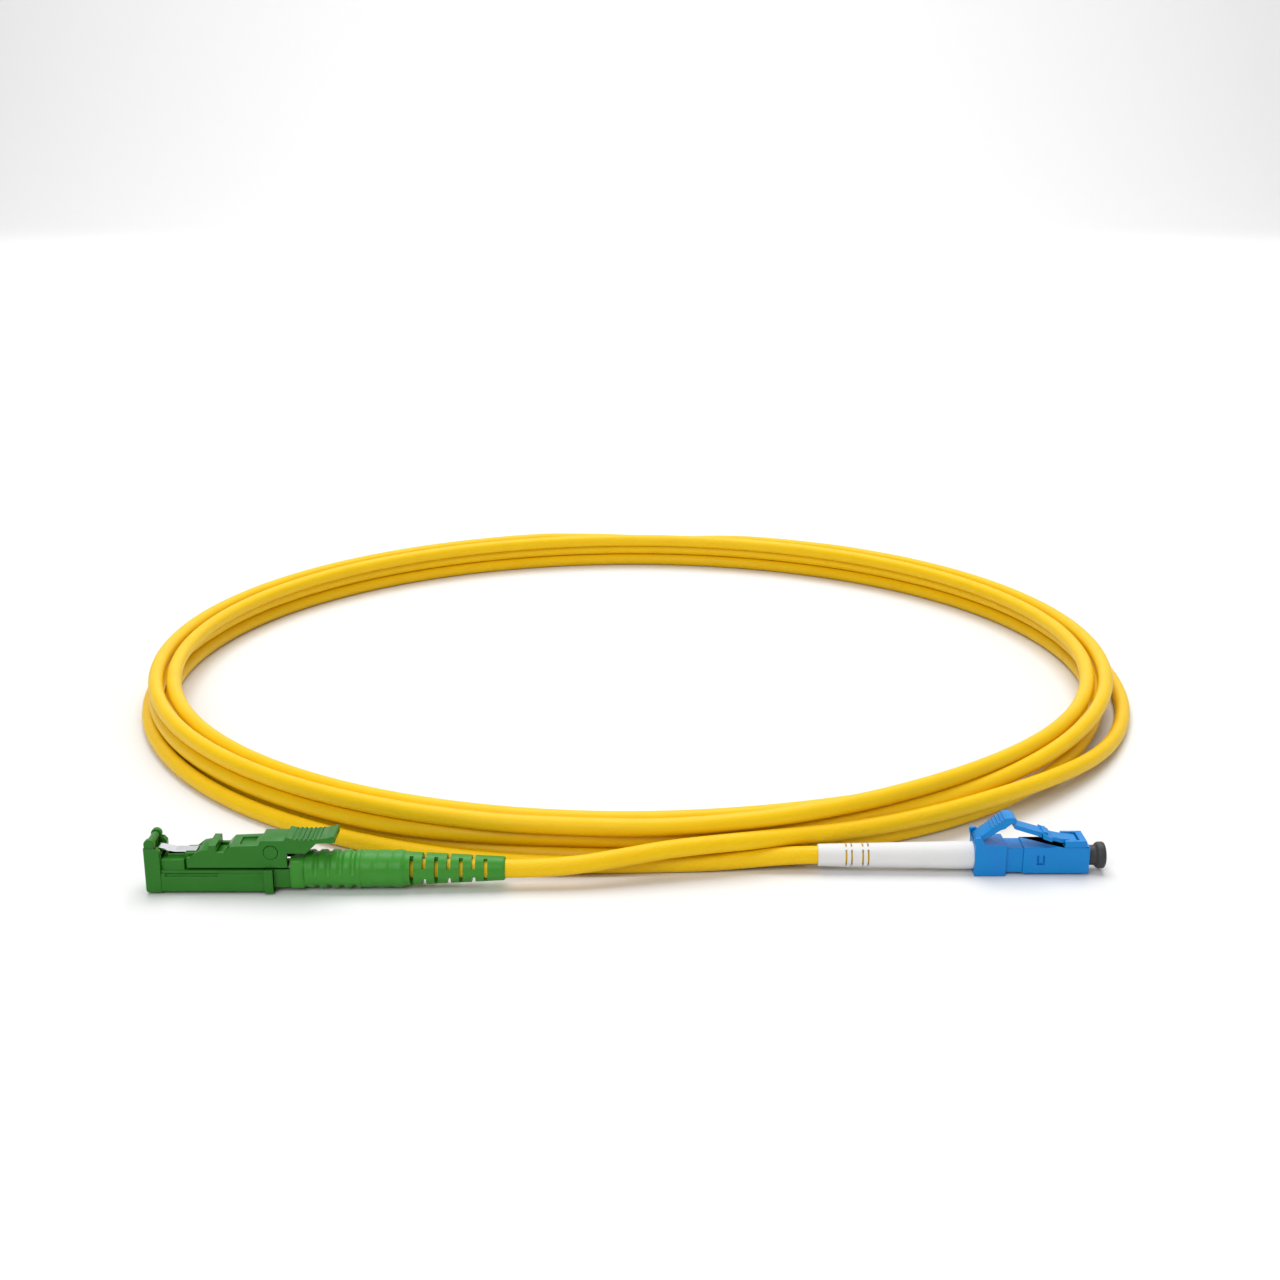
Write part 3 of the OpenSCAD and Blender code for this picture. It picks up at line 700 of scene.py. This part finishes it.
def dress_node(node: str, slot: str, finishes: Finishes) -> None:
    """Gives a part that keeps its own mesh its finish.

    Args:
        node: the part's name in the frame.
        slot: the slot of its finish.
        finishes: the shared finishes.
    """
    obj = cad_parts[node]
    for holder in obj.material_slots:
        holder.link = "OBJECT"
        holder.material = finishes.of(slot)
    LOG.info("%s keeps its mesh, in %s", node, slot)


# ---------------------------------------------------------------- cord


RING_CENTRE = np.array([-0.7, 104.05, 0.0])


def on_ring(angle: float, radius: float, height: float) -> Point:
    """Point at an angle, radius and height about the coil's middle, in millimetres.

    Args:
        angle: degrees from +x.
        radius: distance from the coil's middle.
        height: distance above the floor.

    Returns:
        The point's x, y and z.
    """
    return (
        radius * math.cos(math.radians(angle)),
        radius * math.sin(math.radians(angle)),
        height,
    )


LEAD_FROM_SHUTTERED: list[Point] = [
    (-43.6, -107, 3.2), (-30, -107, 3.2), (-16, -107, 3.2), (-8, -106.5, 3.6),
    (-1, -105.3, 4.3), (6, -103.7, 4.9), (13, -102.1, 5.1), (20, -100.4, 5.1),
] + [
    on_ring(*p)
    for p in (
        (-74, 101.7, 4.8), (-69, 101.8, 4.6), (-64, 101.9, 4.5), (-58, 102.1, 4.5),
        (-52, 102.5, 4.5), (-46, 102.9, 4.2), (-40, 103.3, 3.6), (-34, 103.8, 2.9),
        (-28, 104, 2.2), (-22, 104, 1.7), (-16, 104, 1.5), (-10, 103.9, 1.5),
        (-4, 103.8, 1.5), (2, 103.8, 1.5), (8, 103.7, 1.5), (14, 103.7, 1.5),
        (20, 103.6, 1.5), (32, 103.54, 1.53), (38, 103.42, 1.62), (44, 103.21, 1.79),
        (50, 102.9, 2), (56, 102.51, 2.25), (62, 102.07, 2.56), (68, 101.67, 2.97),
        (74, 101.41, 3.56), (80, 101.35, 4.44), (86, 101.23, 5.44), (92, 101, 6.19),
        (98, 100.74, 6.71),
    )
]
LEAD_TO_LATCH: list[Point] = [
    on_ring(*p)
    for p in (
        (56, 99.63, 7.44), (62, 99.99, 7.23), (68, 101.18, 6.86), (74, 102.93, 6.27),
        (80, 104.26, 5.35), (86, 104.01, 4.19), (92, 102.7, 3.18), (98, 101.64, 2.46),
        (104, 101.32, 2.01), (110, 101.34, 1.74), (116, 101.35, 1.58), (122, 101.36, 1.51),
        (128, 101.62, 1.5), (134, 102.19, 1.5), (140, 102.2, 1.5), (145, 102.1, 1.5),
        (152, 101.9, 1.5), (159, 101.8, 1.5), (166, 101.8, 1.5), (173, 101.7, 1.5),
        (180, 101.7, 1.5), (187, 101.7, 1.5), (194, 101.8, 1.5), (201, 102, 1.5),
        (208, 102.1, 1.5), (215, 102.3, 1.5), (222, 102.5, 1.5), (229, 102.7, 1.5),
        (236, 102.8, 1.5), (243, 103, 1.5), (250, 103.1, 1.5), (256, 103, 1.5),
        (262, 102.6, 1.5),
    )
] + [
    (-4, -101.7, 1.5), (5, -101.4, 1.5), (13, -101.1, 1.6), (20, -100.7, 2),
    (26, -100.6, 2.5), (31, -100.6, 2.65), (40, -100.6, 2.65), (49.3, -100.6, 2.65),
]


# Radius and height, in millimetres, of each turn as it crosses the front of the coil to
# its next place in the stack, every 6 degrees from 90 degrees before the right end.
CROSSING_STEP = 6.0
CROSSINGS: tuple[tuple[tuple[float, float], ...], ...] = (
    (  # outer top to inner top, over the turn that rises
        (100.2, 7.3), (100.14, 7.37), (99.91, 7.59), (99.54, 7.86), (99.07, 8.08),
        (98.54, 8.21), (98.01, 8.2), (97.53, 8.05), (97.15, 7.81), (96.87, 7.55),
        (96.68, 7.32), (96.59, 7.17), (96.56, 7.09), (96.58, 7.08), (96.6, 7.1),
        (96.6, 7.1),
    ),
    (  # inner top to lowest, inside the stack
        (96.6, 7.1), (96.42, 7.05), (95.97, 6.85), (95.39, 6.5), (94.81, 6),
        (94.33, 5.37), (94.07, 4.67), (94.06, 3.93), (94.34, 3.23), (94.88, 2.61),
        (95.61, 2.12), (96.42, 1.78), (97.22, 1.58), (97.86, 1.5), (98.25, 1.5),
        (98.3, 1.5),
    ),
    (  # lowest to middle, outside the stack
        (98.3, 1.5), (98.39, 1.5), (98.72, 1.5), (99.17, 1.5), (99.65, 1.52),
        (100.07, 1.6), (100.35, 1.78), (100.45, 2.07), (100.34, 2.47), (100.07, 2.94),
        (99.68, 3.42), (99.24, 3.88), (98.84, 4.24), (98.51, 4.47), (98.32, 4.55),
        (98.3, 4.55),
    ),
    (  # middle to outer top
        (98.3, 4.55), (98.32, 4.56), (98.39, 4.6), (98.54, 4.7), (98.76, 4.87),
        (99.04, 5.13), (99.35, 5.46), (99.64, 5.86), (99.88, 6.27), (100.05, 6.65),
        (100.16, 6.95), (100.22, 7.16), (100.23, 7.27), (100.22, 7.3), (100.2, 7.3),
        (100.2, 7.3),
    ),
)


@dataclass
class Cord:
    """The jacketed cord: a lead from each plug and the four stacked turns between."""

    diameter: float = 3.0
    sides: int = 20
    station_mm: float = 2.2
    inner_top: tuple[float, float] = (96.6, 7.1)
    outer_top: tuple[float, float] = (100.2, 7.3)
    lowest: tuple[float, float] = (98.3, 1.5)
    middle: tuple[float, float] = (98.3, 4.55)
    stand_out: tuple[float, float] = (2.0, -0.35)
    stand_out_from: tuple[float, float] = (165.0, 30.0)
    stand_out_until: tuple[float, float] = (243.0, 24.0)
    before_crossing: float = 5.0
    grain_low: float = 0.3
    first_angle: float = 104.0
    last_angle: float = 1490.0
    line: Array = field(default_factory=lambda: np.zeros((0, 3)))

    def turns(self) -> Array:
        """Lays the stacked turns.

        The angle runs on past 360 degrees. Each front crossing moves the cord from its
        place in the stack to the next: outer top, inner top, lowest, middle and outer
        top again. The middle turn stands out a little at the left of the front.

        Returns:
            Points about the coil's middle, in millimetres.
        """
        step = CROSSING_STEP
        until = 270.0 - self.before_crossing
        rows = [(a, *self.outer_top) for a in np.arange(self.first_angle, until, step)]
        places = (self.inner_top, self.lowest, self.middle, self.outer_top)
        for turn, (table, place) in enumerate(zip(CROSSINGS, places), start=1):
            start = 360.0 * turn - 90.0
            rows += [(start + step * i, *point) for i, point in enumerate(table)]
            until = start + 360.0 - self.before_crossing
            after = np.arange(start + step * len(table), until, step)
            rows += [(a, *place) for a in after]
        angle, radius, height = np.array(rows).T
        phase = angle - 3 * 360.0
        rise, rise_width = self.stand_out_from
        fall, fall_width = self.stand_out_until
        out = smooth_step((phase - rise) / rise_width)
        out = out * (1.0 - smooth_step((phase - fall) / fall_width))
        radius = radius + self.stand_out[0] * out
        height = height + self.stand_out[1] * out
        turn = np.radians(angle)
        points = np.stack([radius * np.cos(turn), radius * np.sin(turn), height], 1)
        return points[angle <= self.last_angle]

    def route(self) -> Array:
        """Joins leads and turns into one evenly spaced line.

        A Catmull-Rom curve runs through the chosen points: between p1 and p2 it is half
        of 2 p1 + (p2 - p0) t + (2 p0 - 5 p1 + 4 p2 - p3) t^2 + (3 p1 - p0 - 3 p2 + p3) t^3.

        Returns:
            Points in metres in the shared frame.
        """
        p = np.vstack([LEAD_FROM_SHUTTERED, self.turns(), LEAD_TO_LATCH]) + RING_CENTRE
        ends = np.vstack([2 * p[0] - p[1], p, 2 * p[-1] - p[-2]])
        p0, p1, p2, p3 = (ends[k : k + len(p) - 1, None] for k in range(4))
        t = np.linspace(0, 1, 10, endpoint=False)[None, :, None]
        curve = 0.5 * (
            2 * p1
            + (p2 - p0) * t
            + (2 * p0 - 5 * p1 + 4 * p2 - p3) * t**2
            + (3 * p1 - p0 - 3 * p2 + p3) * t**3
        )
        curve = np.vstack([curve.reshape(-1, 3), p[-1:]])
        run = np.append(0, np.cumsum(np.linalg.norm(np.diff(curve, axis=0), axis=1)))
        at = np.linspace(0, run[-1], int(run[-1] / self.station_mm) + 1)
        return np.stack([np.interp(at, run, curve[:, k]) for k in range(3)], 1) * MM

    def grain(self, run: Array) -> Array:
        """Depth of the jacket's pebbles along the cord: full on the leads, low in the coil.

        Args:
            run: distance along the cord at each station, in metres.

        Returns:
            The share of the full depth at each station.
        """
        near_end, far_start, fade = 0.26, run[-1] - 0.5, 0.2
        near = 1 - smooth_step((run - near_end) / fade)
        far = smooth_step((run - far_start) / fade)
        return self.grain_low + (1 - self.grain_low) * np.maximum(near, far)

    def build(self) -> bpy.types.Object:
        """Makes the tube: a circle carried along the route, with its ends closed.

        Each ring is centre + r (cos a side + sin a up), where side is level and square
        to the route and up is square to both.

        Returns:
            The cord's object, with its grain value on every corner.
        """
        self.line = self.route()
        tangent = np.gradient(self.line, axis=0)
        tangent /= np.linalg.norm(tangent, axis=1, keepdims=True)
        side = np.cross(tangent, [0.0, 0.0, 1.0])
        side /= np.linalg.norm(side, axis=1, keepdims=True)
        up = np.cross(side, tangent)
        a = np.linspace(0, 2 * math.pi, self.sides, endpoint=False)[None, :, None]
        r = self.diameter / 2 * MM
        rings = self.line[:, None] + r * (np.cos(a) * side[:, None] + np.sin(a) * up[:, None])
        points = np.vstack([rings.reshape(-1, 3), self.line[[0, -1]]])
        count = len(self.line)
        k = np.arange(self.sides)
        n = (k + 1) % self.sides
        last = (count - 1) * self.sides
        first_cap = np.stack([k, n, np.full(self.sides, count * self.sides)], 1)
        last_cap = np.stack([last + n, last + k, np.full(self.sides, count * self.sides + 1)], 1)
        faces = [*ring_quads(count, self.sides), *first_cap, *last_cap]
        obj = new_object("yellow_cord", points, faces)
        face_outwards(obj)
        run = np.append(0, np.cumsum(np.linalg.norm(np.diff(self.line, axis=0), axis=1)))
        grain = np.append(np.repeat(self.grain(run), self.sides), [1.0, 1.0])
        stored = obj.data.attributes.new("grain", "FLOAT", "POINT")
        stored.data.foreach_set("value", grain.astype(np.float32))
        return obj

    def dress(self, finishes: Finishes, plug_pieces: list[bpy.types.Object]) -> None:
        """Puts the cord in place of its frame parts and says what cord it is.

        Args:
            finishes: the shared finishes.
            plug_pieces: pieces of the plug on the cord's far end; not used.
        """
        obj = self.build()
        Piece(
            obj, STATIC_BODY, "jacket", ("cord_coil", "cord_lead_e2000", "cord_lead_lc")
        ).fit(finishes)
        length = float(np.linalg.norm(np.diff(self.line, axis=0), axis=1).sum())
        LOG.info("cord runs %.3f m over %d stations", length, len(self.line))


# ---------------------------------------------------------------- shuttered plug


def rounded_square(angle: Array, half: float, power: float) -> Array:
    """Radius of a square with round corners: half / (|cos|^n + |sin|^n)^(1/n).

    Args:
        angle: angle round the middle line, in radians.
        half: half the square's side.
        power: n, larger for sharper corners.

    Returns:
        The radius at each angle.
    """
    c, s = np.abs(np.cos(angle)), np.abs(np.sin(angle))
    return half / (c**power + s**power) ** (1.0 / power)


@dataclass
class ShutteredPlug:
    """Green plug with a shutter, a rocking lever and a slotted boot."""

    boot_x: float = 22.9
    boot_end: float = 56.9
    flange_end: float = 25.1
    flange_half: float = 2.6
    barrel_r: float = 3.08
    step_x: float = 33.9
    tail_x: float = 41.4
    tail_r: float = 2.68
    tip_r: float = 1.9
    bore_r: float = 1.55
    crimp_bore_r: float = 1.9
    crimp_end: float = 32.9
    slot_w: float = 0.62
    slot_pitch: float = 1.957
    slot_first: float = 41.8
    slots: int = 7
    bridge_half: float = 0.72
    groove_first: float = 27.0
    groove_pitch: float = 1.95
    grooves: int = 4
    flange_power: float = 6.5
    edge_r: float = 0.3
    flange_drop: float = 0.16
    barrel_lead_in: float = 1.2
    groove_half: float = 0.4
    groove_depth: float = 0.32
    groove_above: float = 0.16
    groove_below: float = 0.45
    groove_fade: float = 0.2
    step_l: float = 0.25
    band_pitch: float = 2.45
    band_depth: float = 0.11
    band_drop: float = 0.1
    tip_drop: float = 0.18
    tail_blend: float = 1.0
    cut_r: float = 2.2
    hard_parts: tuple[tuple[str, str, str, float], ...] = (
        ("e2000_housing", "green_body", STATIC_BODY, 0.1),
        ("e2000_front_frame", "green_front_frame", STATIC_BODY, 0.13),
        ("e2000_shutter", "green_shutter", "e2000_shutter", 0.08),
        ("e2000_lever", "green_lever", "e2000_lever", 0.11),
        ("e2000_lever_pin", "green_lever_pin", STATIC_BODY, 0.06),
        ("e2000_collar", "green_collar", STATIC_BODY, 0.14),
    )

    def boot_outer(self, x: Array, a: Array) -> Array:
        """Outer radius of the boot.

        A rounded square flange runs into a barrel; grooves are pressed into its upper
        and lower sides only; past a small step come three soft bands; then the radius
        falls in a straight line to the tip, whose edge is rounded.

        Args:
            x: place along the plug, in millimetres.
            a: angle from the top, in radians.

        Returns:
            Radius in millimetres.
        """
        flange = rounded_square(a, self.flange_half, self.flange_power)
        edge = np.minimum(x - self.boot_x, self.flange_end - x)
        flange = flange - self.flange_drop * (1 - smooth_step(edge / self.edge_r))
        lead_in = 1 - smooth_step((x - self.flange_end) / self.barrel_lead_in)
        barrel = self.barrel_r - self.flange_drop * lead_in
        nearest = np.round((x - self.groove_first) / self.groove_pitch)
        nearest = np.clip(nearest, 0, self.grooves - 1)
        off = x - (self.groove_first + nearest * self.groove_pitch)
        groove = np.exp(-((off / self.groove_half) ** 4))
        up = np.cos(a)
        above = smooth_step((up - self.groove_above) / self.groove_fade)
        below = smooth_step((-up - self.groove_below) / self.groove_fade)
        barrel = barrel - self.groove_depth * groove * (above + below)
        band = 0.5 + 0.5 * np.cos(2 * math.pi * (x - self.step_x) / self.band_pitch)
        banded = self.barrel_r - self.band_drop - self.band_depth * band**3
        share = smooth_step((x - self.step_x) / self.step_l)
        body = barrel * (1 - share) + banded * share
        fall = np.clip((x - self.tail_x) / (self.boot_end - self.tail_x), 0, 1)
        tail = self.tail_r + (self.tip_r - self.tail_r) * fall
        tip = np.clip((self.boot_end - x) / self.edge_r, 0, 1)
        tail = tail - self.tip_drop * (1 - np.sqrt(tip))
        into_tail = smooth_step((x - self.tail_x + self.tail_blend) / self.tail_blend)
        body = body * (1 - into_tail) + tail * into_tail
        return np.where(x <= self.flange_end, flange, body)

    def boot_inner(self, x: Array) -> Array:
        """Inner radius: wide over the crimp, close on the cord behind it."""
        return np.where(x < self.crimp_end, self.crimp_bore_r, self.bore_r)

    def boot_solid(self, x: Array, a: Array) -> Array:
        """Whether the boot's wall is there.

        Slots come in pairs, each pair a quarter turn on from the last, with a narrow
        bridge either side.

        Args:
            x: place along the plug, in millimetres.
            a: angle from the top, in radians.

        Returns:
            True where the wall is kept.
        """
        from_first = x - self.slot_first - self.slot_w / 2
        nearest = np.round(from_first / self.slot_pitch)
        inside = np.abs(from_first - nearest * self.slot_pitch) < self.slot_w / 2
        inside &= (nearest >= 0) & (nearest < self.slots)
        across = np.where(nearest % 2 == 0, np.sin(a), np.cos(a))
        on_bridge = np.abs(across) * self.cut_r < self.bridge_half
        return ~(inside & ~on_bridge)

    def build_boot(self) -> bpy.types.Object:
        """Makes the slotted boot with stations at every slot's edges.

        Returns:
            The boot's object.
        """
        slot_edges = [
            self.slot_first + i * self.slot_pitch + w
            for i in range(self.slots)
            for w in (0.0, self.slot_w)
        ]
        round_edge = (0, 0.08, 0.18, 0.32)
        flange = [self.boot_x + d for d in round_edge]
        flange += [self.flange_end - d for d in round_edge]
        fine, coarse = 0.13, 0.33
        barrel = np.arange(self.flange_end + 0.12, self.tail_x, fine)
        tail = [s + coarse * d for s in slot_edges[1::2] for d in (1, 2, 3)]
        tip = [self.boot_end - d for d in (0.5, 0.3, 0.15, 0.05, 0)]
        along = np.unique(np.round([*flange, *barrel, *slot_edges, *tail, *tip], 4))
        along = along[(along <= self.tail_x) | (along >= self.slot_first)]
        half = math.asin(self.bridge_half / self.cut_r)
        quarter = np.append(0.0, np.linspace(half, math.pi / 2 - half, 13))
        around = np.concatenate([quarter + q * math.pi / 2 for q in range(4)])
        shape = (self.boot_outer, self.boot_inner, self.boot_solid)
        return slotted_shell("green_boot", Plug.SHUTTERED, along, around, *shape)

    def build(self) -> list[Piece]:
        """Makes every visible piece of the plug.

        Returns:
            The pieces, not yet on their bodies.
        """
        pieces = []
        for node, name, body, edge in self.hard_parts:
            obj = merged_copy(node, name)
            soften(obj, edge)
            pieces.append(Piece(obj, body, "green_plastic", (node,)))
        boot = self.build_boot()
        pieces.append(Piece(boot, STATIC_BODY, "green_boot", ("e2000_boot",)))
        return pieces

    def dress(self, finishes: Finishes) -> None:
        """Builds and finishes the plug, and the inner parts that keep their meshes.

        Args:
            finishes: the shared finishes.
        """
        for piece in self.build():
            piece.fit(finishes)
        for node, slot in (
            ("e2000_shutter_pin", "green_plastic"),
            ("e2000_shutter_spring", "spring_steel"),
            ("e2000_ferrule", "zirconia"),
            ("e2000_ferrule_holder", "nickel"),
            ("e2000_ferrule_spring", "spring_steel"),
            ("e2000_back_post", "nickel"),
            ("e2000_crimp_sleeve", "nickel"),
            ("e2000_fiber", "buffer"),
        ):
            dress_node(node, slot, finishes)


# ---------------------------------------------------------------- latch plug


@dataclass
class LatchPlug:
    """Small blue plug with a top latch, a white boot and a dust cap."""

    boot_x: float = 18.7
    boot_end: float = 44.0
    boot_r: float = 2.25
    tip_r: float = 1.82
    bore_r: float = 1.55
    crimp_bore_r: float = 1.8
    crimp_end: float = 25.7
    slit_w: float = 0.3
    slits: tuple[float, ...] = (4.4, 5.3, 7.1, 8.0)
    side_reach: float = 50.0
    top_reach: float = 24.0
    straight_l: float = 3.0
    tip_drop: float = 0.1
    tip_l: float = 0.25
    slit_zone: float = 9.0
    hard_parts: tuple[tuple[str, str, str, float], ...] = (
        ("lc_housing", "blue_housing", STATIC_BODY, 0.1),
        ("lc_latch", "blue_latch", "lc_latch", 0.1),
        ("lc_rear_body", "blue_rear_body", STATIC_BODY, 0.08),
        ("lc_clip", "blue_clip", STATIC_BODY, 0.12),
        ("lc_trigger", "blue_trigger", "lc_trigger", 0.09),
    )

    def boot_outer(self, x: Array, a: Array) -> Array:
        """Outer radius of the boot: straight at first, then a slow taper to a round tip.

        Args:
            x: place along the plug, in millimetres.
            a: angle from the top, in radians; the boot is round, so it changes nothing.

        Returns:
            Radius in millimetres.
        """
        start = self.boot_x + self.straight_l
        fall = np.clip((x - start) / (self.boot_end - start), 0, 1)
        radius = self.boot_r + (self.tip_r - self.boot_r) * fall
        tip = np.clip((self.boot_end - x) / self.tip_l, 0, 1)
        return radius - self.tip_drop * (1 - np.sqrt(tip)) + 0 * a

    def boot_inner(self, x: Array) -> Array:
        """Inner radius: wide over the crimp, close on the cord behind it."""
        return np.where(x < self.crimp_end, self.crimp_bore_r, self.bore_r)

    def boot_solid(self, x: Array, a: Array) -> Array:
        """Whether the wall is there: each slit ring opens at both sides, top and bottom.

        Args:
            x: place along the plug, in millimetres.
            a: angle from the top, in radians.

        Returns:
            True where the wall is kept.
        """
        degrees = np.degrees(a) % 180.0
        from_top = np.minimum(degrees, 180.0 - degrees)
        open_round = (from_top > 90.0 - self.side_reach) | (from_top < self.top_reach)
        inside = np.zeros(x.shape, bool)
        for slit in self.slits:
            start = self.boot_end - slit - self.slit_w
            inside |= (x > start) & (x < start + self.slit_w)
        return ~(inside & open_round)

    def build_boot(self) -> bpy.types.Object:
        """Makes the boot with stations at every slit's edges.

        Returns:
            The boot's object.
        """
        edges = [self.boot_end - s - w for s in self.slits for w in (0.0, self.slit_w)]
        plain = np.arange(self.boot_x, self.boot_end - self.slit_zone, 1.0)
        tip = [self.boot_end - d for d in (3.0, 1.5, 0.5, 0.25, 0.12, 0.04, 0)]
        along = np.unique(np.round([*plain, *edges, *tip], 4))
        side_edge = 90.0 - self.side_reach
        quarter = [self.top_reach, side_edge, *np.linspace(side_edge + 8, 82, 5), 90]
        quarter = [*np.linspace(0, self.top_reach, 4)[:-1], *quarter]
        half = np.array([*quarter, *(180 - np.array(quarter[::-1][1:-1]))])
        around = np.radians(np.unique(np.round([*half, *(half + 180)], 3)))
        shape = (self.boot_outer, self.boot_inner, self.boot_solid)
        return slotted_shell("white_boot", Plug.LATCH, along, around, *shape)

    def build_cap(self) -> bpy.types.Object:
        """Makes the dust cap: hollow shaft, waisted neck and a dished, round-edged head.

        The outline is turned about the plug's middle line; the head's edge is a quarter
        circle, (x, r) = (x0 - e sin t, r0 + e cos t).

        Returns:
            The cap's object.
        """
        edge_x, edge_r, edge = -2.45, 1.78, 0.42
        turn = np.linspace(0, math.pi / 2, 6)
        head_edge = [(edge_x - edge * math.sin(t), edge_r + edge * math.cos(t)) for t in turn]
        profile = [
            (4.2, 1.2), (4.2, 1.5), (4.12, 1.6), (3.95, 1.65), (1.0, 1.65), (-0.9, 1.65),
            (-1.15, 1.68), (-1.3, 1.78), (-1.42, 1.95), (-1.6, 2.1), (-1.85, 2.18), (-2.2, 2.2),
            *head_edge, (-2.8, 1.45), (-2.62, 1.3), (-2.5, 1.05), (-2.48, 0.02),
            (-1.2, 0.02), (-1.2, 1.05), (-1.1, 1.2),
        ]
        return turned_piece("dark_dust_cap", Plug.LATCH, profile)

    def build(self) -> list[Piece]:
        """Makes every visible piece of the plug.

        Returns:
            The pieces, not yet on their bodies.
        """
        pieces = []
        for node, name, body, edge in self.hard_parts:
            obj = merged_copy(node, name)
            soften(obj, edge)
            pieces.append(Piece(obj, body, "blue_plastic", (node,)))
        pieces.append(Piece(self.build_boot(), STATIC_BODY, "white_boot", ("lc_boot",)))
        pieces.append(Piece(self.build_cap(), "lc_dust_cap", "cap_grey", ("lc_dust_cap",)))
        return pieces

    def dress(self, finishes: Finishes) -> list[bpy.types.Object]:
        """Builds and finishes the plug, and the inner parts that keep their meshes.

        Args:
            finishes: the shared finishes.

        Returns:
            The pieces that stay with the cord's far end.
        """
        pieces = self.build()
        for piece in pieces:
            piece.fit(finishes)
        for node, slot in (
            ("lc_ferrule", "zirconia"),
            ("lc_ferrule_holder", "nickel"),
            ("lc_ferrule_spring", "spring_steel"),
            ("lc_back_post", "nickel"),
            ("lc_crimp_sleeve", "nickel"),
            ("lc_fiber", "buffer"),
        ):
            dress_node(node, slot, finishes)
        return [piece.obj for piece in pieces]


# ---------------------------------------------------------------- studio


@dataclass(frozen=True)
class Lamp:
    """A square soft light: its place and aim in metres, its side in metres, its watts."""

    name: str
    at: Point
    aim: Point
    size: float
    power: float

    def hang(self) -> None:
        """Adds the light to the scene, facing its aim."""
        data = bpy.data.lights.new(self.name, "AREA")
        data.shape = "SQUARE"
        data.size = self.size
        data.energy = self.power
        obj = bpy.data.objects.new(self.name, data)
        obj.location = self.at
        facing = Vector(self.aim) - Vector(self.at)
        obj.rotation_euler = facing.to_track_quat("-Z", "Y").to_euler()
        bpy.context.scene.collection.objects.link(obj)


OBJECT_MIDDLE: Point = (0.0, 0.08, 0.0)


@dataclass
class Studio:
    """Camera, pale floor running up into a backdrop, and soft lights."""

    camera_at: Point = (0.00125, -0.25935, 0.1202)
    pitch: float = 72.92
    lens: float = 49.09
    front_y: float = -2.6
    flat_from: float = -2.0
    back_y: float = 1.5
    bend_r: float = 0.6
    top_z: float = 3.2
    half_width: float = 3.5
    paper: float = 0.8
    fill: float = 0.25
    lamps: tuple[Lamp, ...] = (
        Lamp("overhead_softbox", (0.0, 0.5, 1.2), OBJECT_MIDDLE, 1.1, 16.0),
        Lamp("front_softbox", (-0.4, -1.0, 0.9), OBJECT_MIDDLE, 0.8, 8.5),
        Lamp("backdrop_wash", (0.0, 0.85, 1.05), (0.0, 2.0, 0.6), 1.2, 16.0),
        Lamp("right_softbox", (1.2, -0.3, 0.7), OBJECT_MIDDLE, 0.8, 2.0),
    )

    def camera(self) -> None:
        """Sets up the camera."""
        data = bpy.data.cameras.new("studio_camera")
        data.sensor_width = 36.0
        data.lens = self.lens
        data.clip_start = 0.01
        data.clip_end = 50.0
        obj = bpy.data.objects.new("studio_camera", data)
        obj.location = self.camera_at
        obj.rotation_euler = (math.radians(self.pitch), 0.0, 0.0)
        bpy.context.scene.collection.objects.link(obj)
        bpy.context.scene.camera = obj

    def backdrop(self) -> None:
        """Makes the floor and backdrop: a flat, a quarter circle and an upright, swept in x."""
        bend = np.linspace(0, math.pi / 2, 17)[1:]
        flat = np.append(self.front_y, np.linspace(self.flat_from, self.back_y, 8))
        curve_y = self.back_y + self.bend_r * np.sin(bend)
        curve_z = self.bend_r * (1 - np.cos(bend))
        y = np.concatenate([flat, curve_y, [self.back_y + self.bend_r]])
        z = np.concatenate([np.zeros(len(flat)), curve_z, [self.top_z]])
        x = np.array([-self.half_width, self.half_width])
        grid_y, grid_x = np.meshgrid(y, x, indexing="ij")
        grid_z = np.repeat(z[:, None], 2, axis=1)
        points = np.stack([grid_x, grid_y, grid_z], -1).reshape(-1, 3)
        obj = new_object("studio_floor", points, ring_quads(len(y), 2, closed=False))
        material = bpy.data.materials.new("pale_paper")
        material.use_nodes = True
        shader = material.node_tree.nodes["Principled BSDF"]
        shader.inputs["Base Color"].default_value = (self.paper, self.paper, self.paper, 1)
        shader.inputs["Roughness"].default_value = 0.9
        shader.inputs["Specular IOR Level"].default_value = 0.1
        obj.data.materials.append(material)

    def lights(self) -> None:
        """Hangs the lights and sets the room's soft fill."""
        for lamp in self.lamps:
            lamp.hang()
        world = bpy.data.worlds.new("studio_room")
        world.use_nodes = True
        background = world.node_tree.nodes["Background"]
        background.inputs["Color"].default_value = (1, 1, 1, 1)
        background.inputs["Strength"].default_value = self.fill
        bpy.context.scene.world = world
        bpy.context.scene.view_settings.view_transform = "Standard"


def main() -> None:
    """Builds the studio, the cord and both plugs."""
    logging.basicConfig(level=logging.INFO, format="%(name)s: %(message)s")
    studio = Studio()
    studio.camera()
    studio.backdrop()
    studio.lights()
    finishes = Finishes()
    plug_pieces = LatchPlug().dress(finishes)
    Cord().dress(finishes, plug_pieces)
    ShutteredPlug().dress(finishes)


if __name__ == "__main__":
    main()
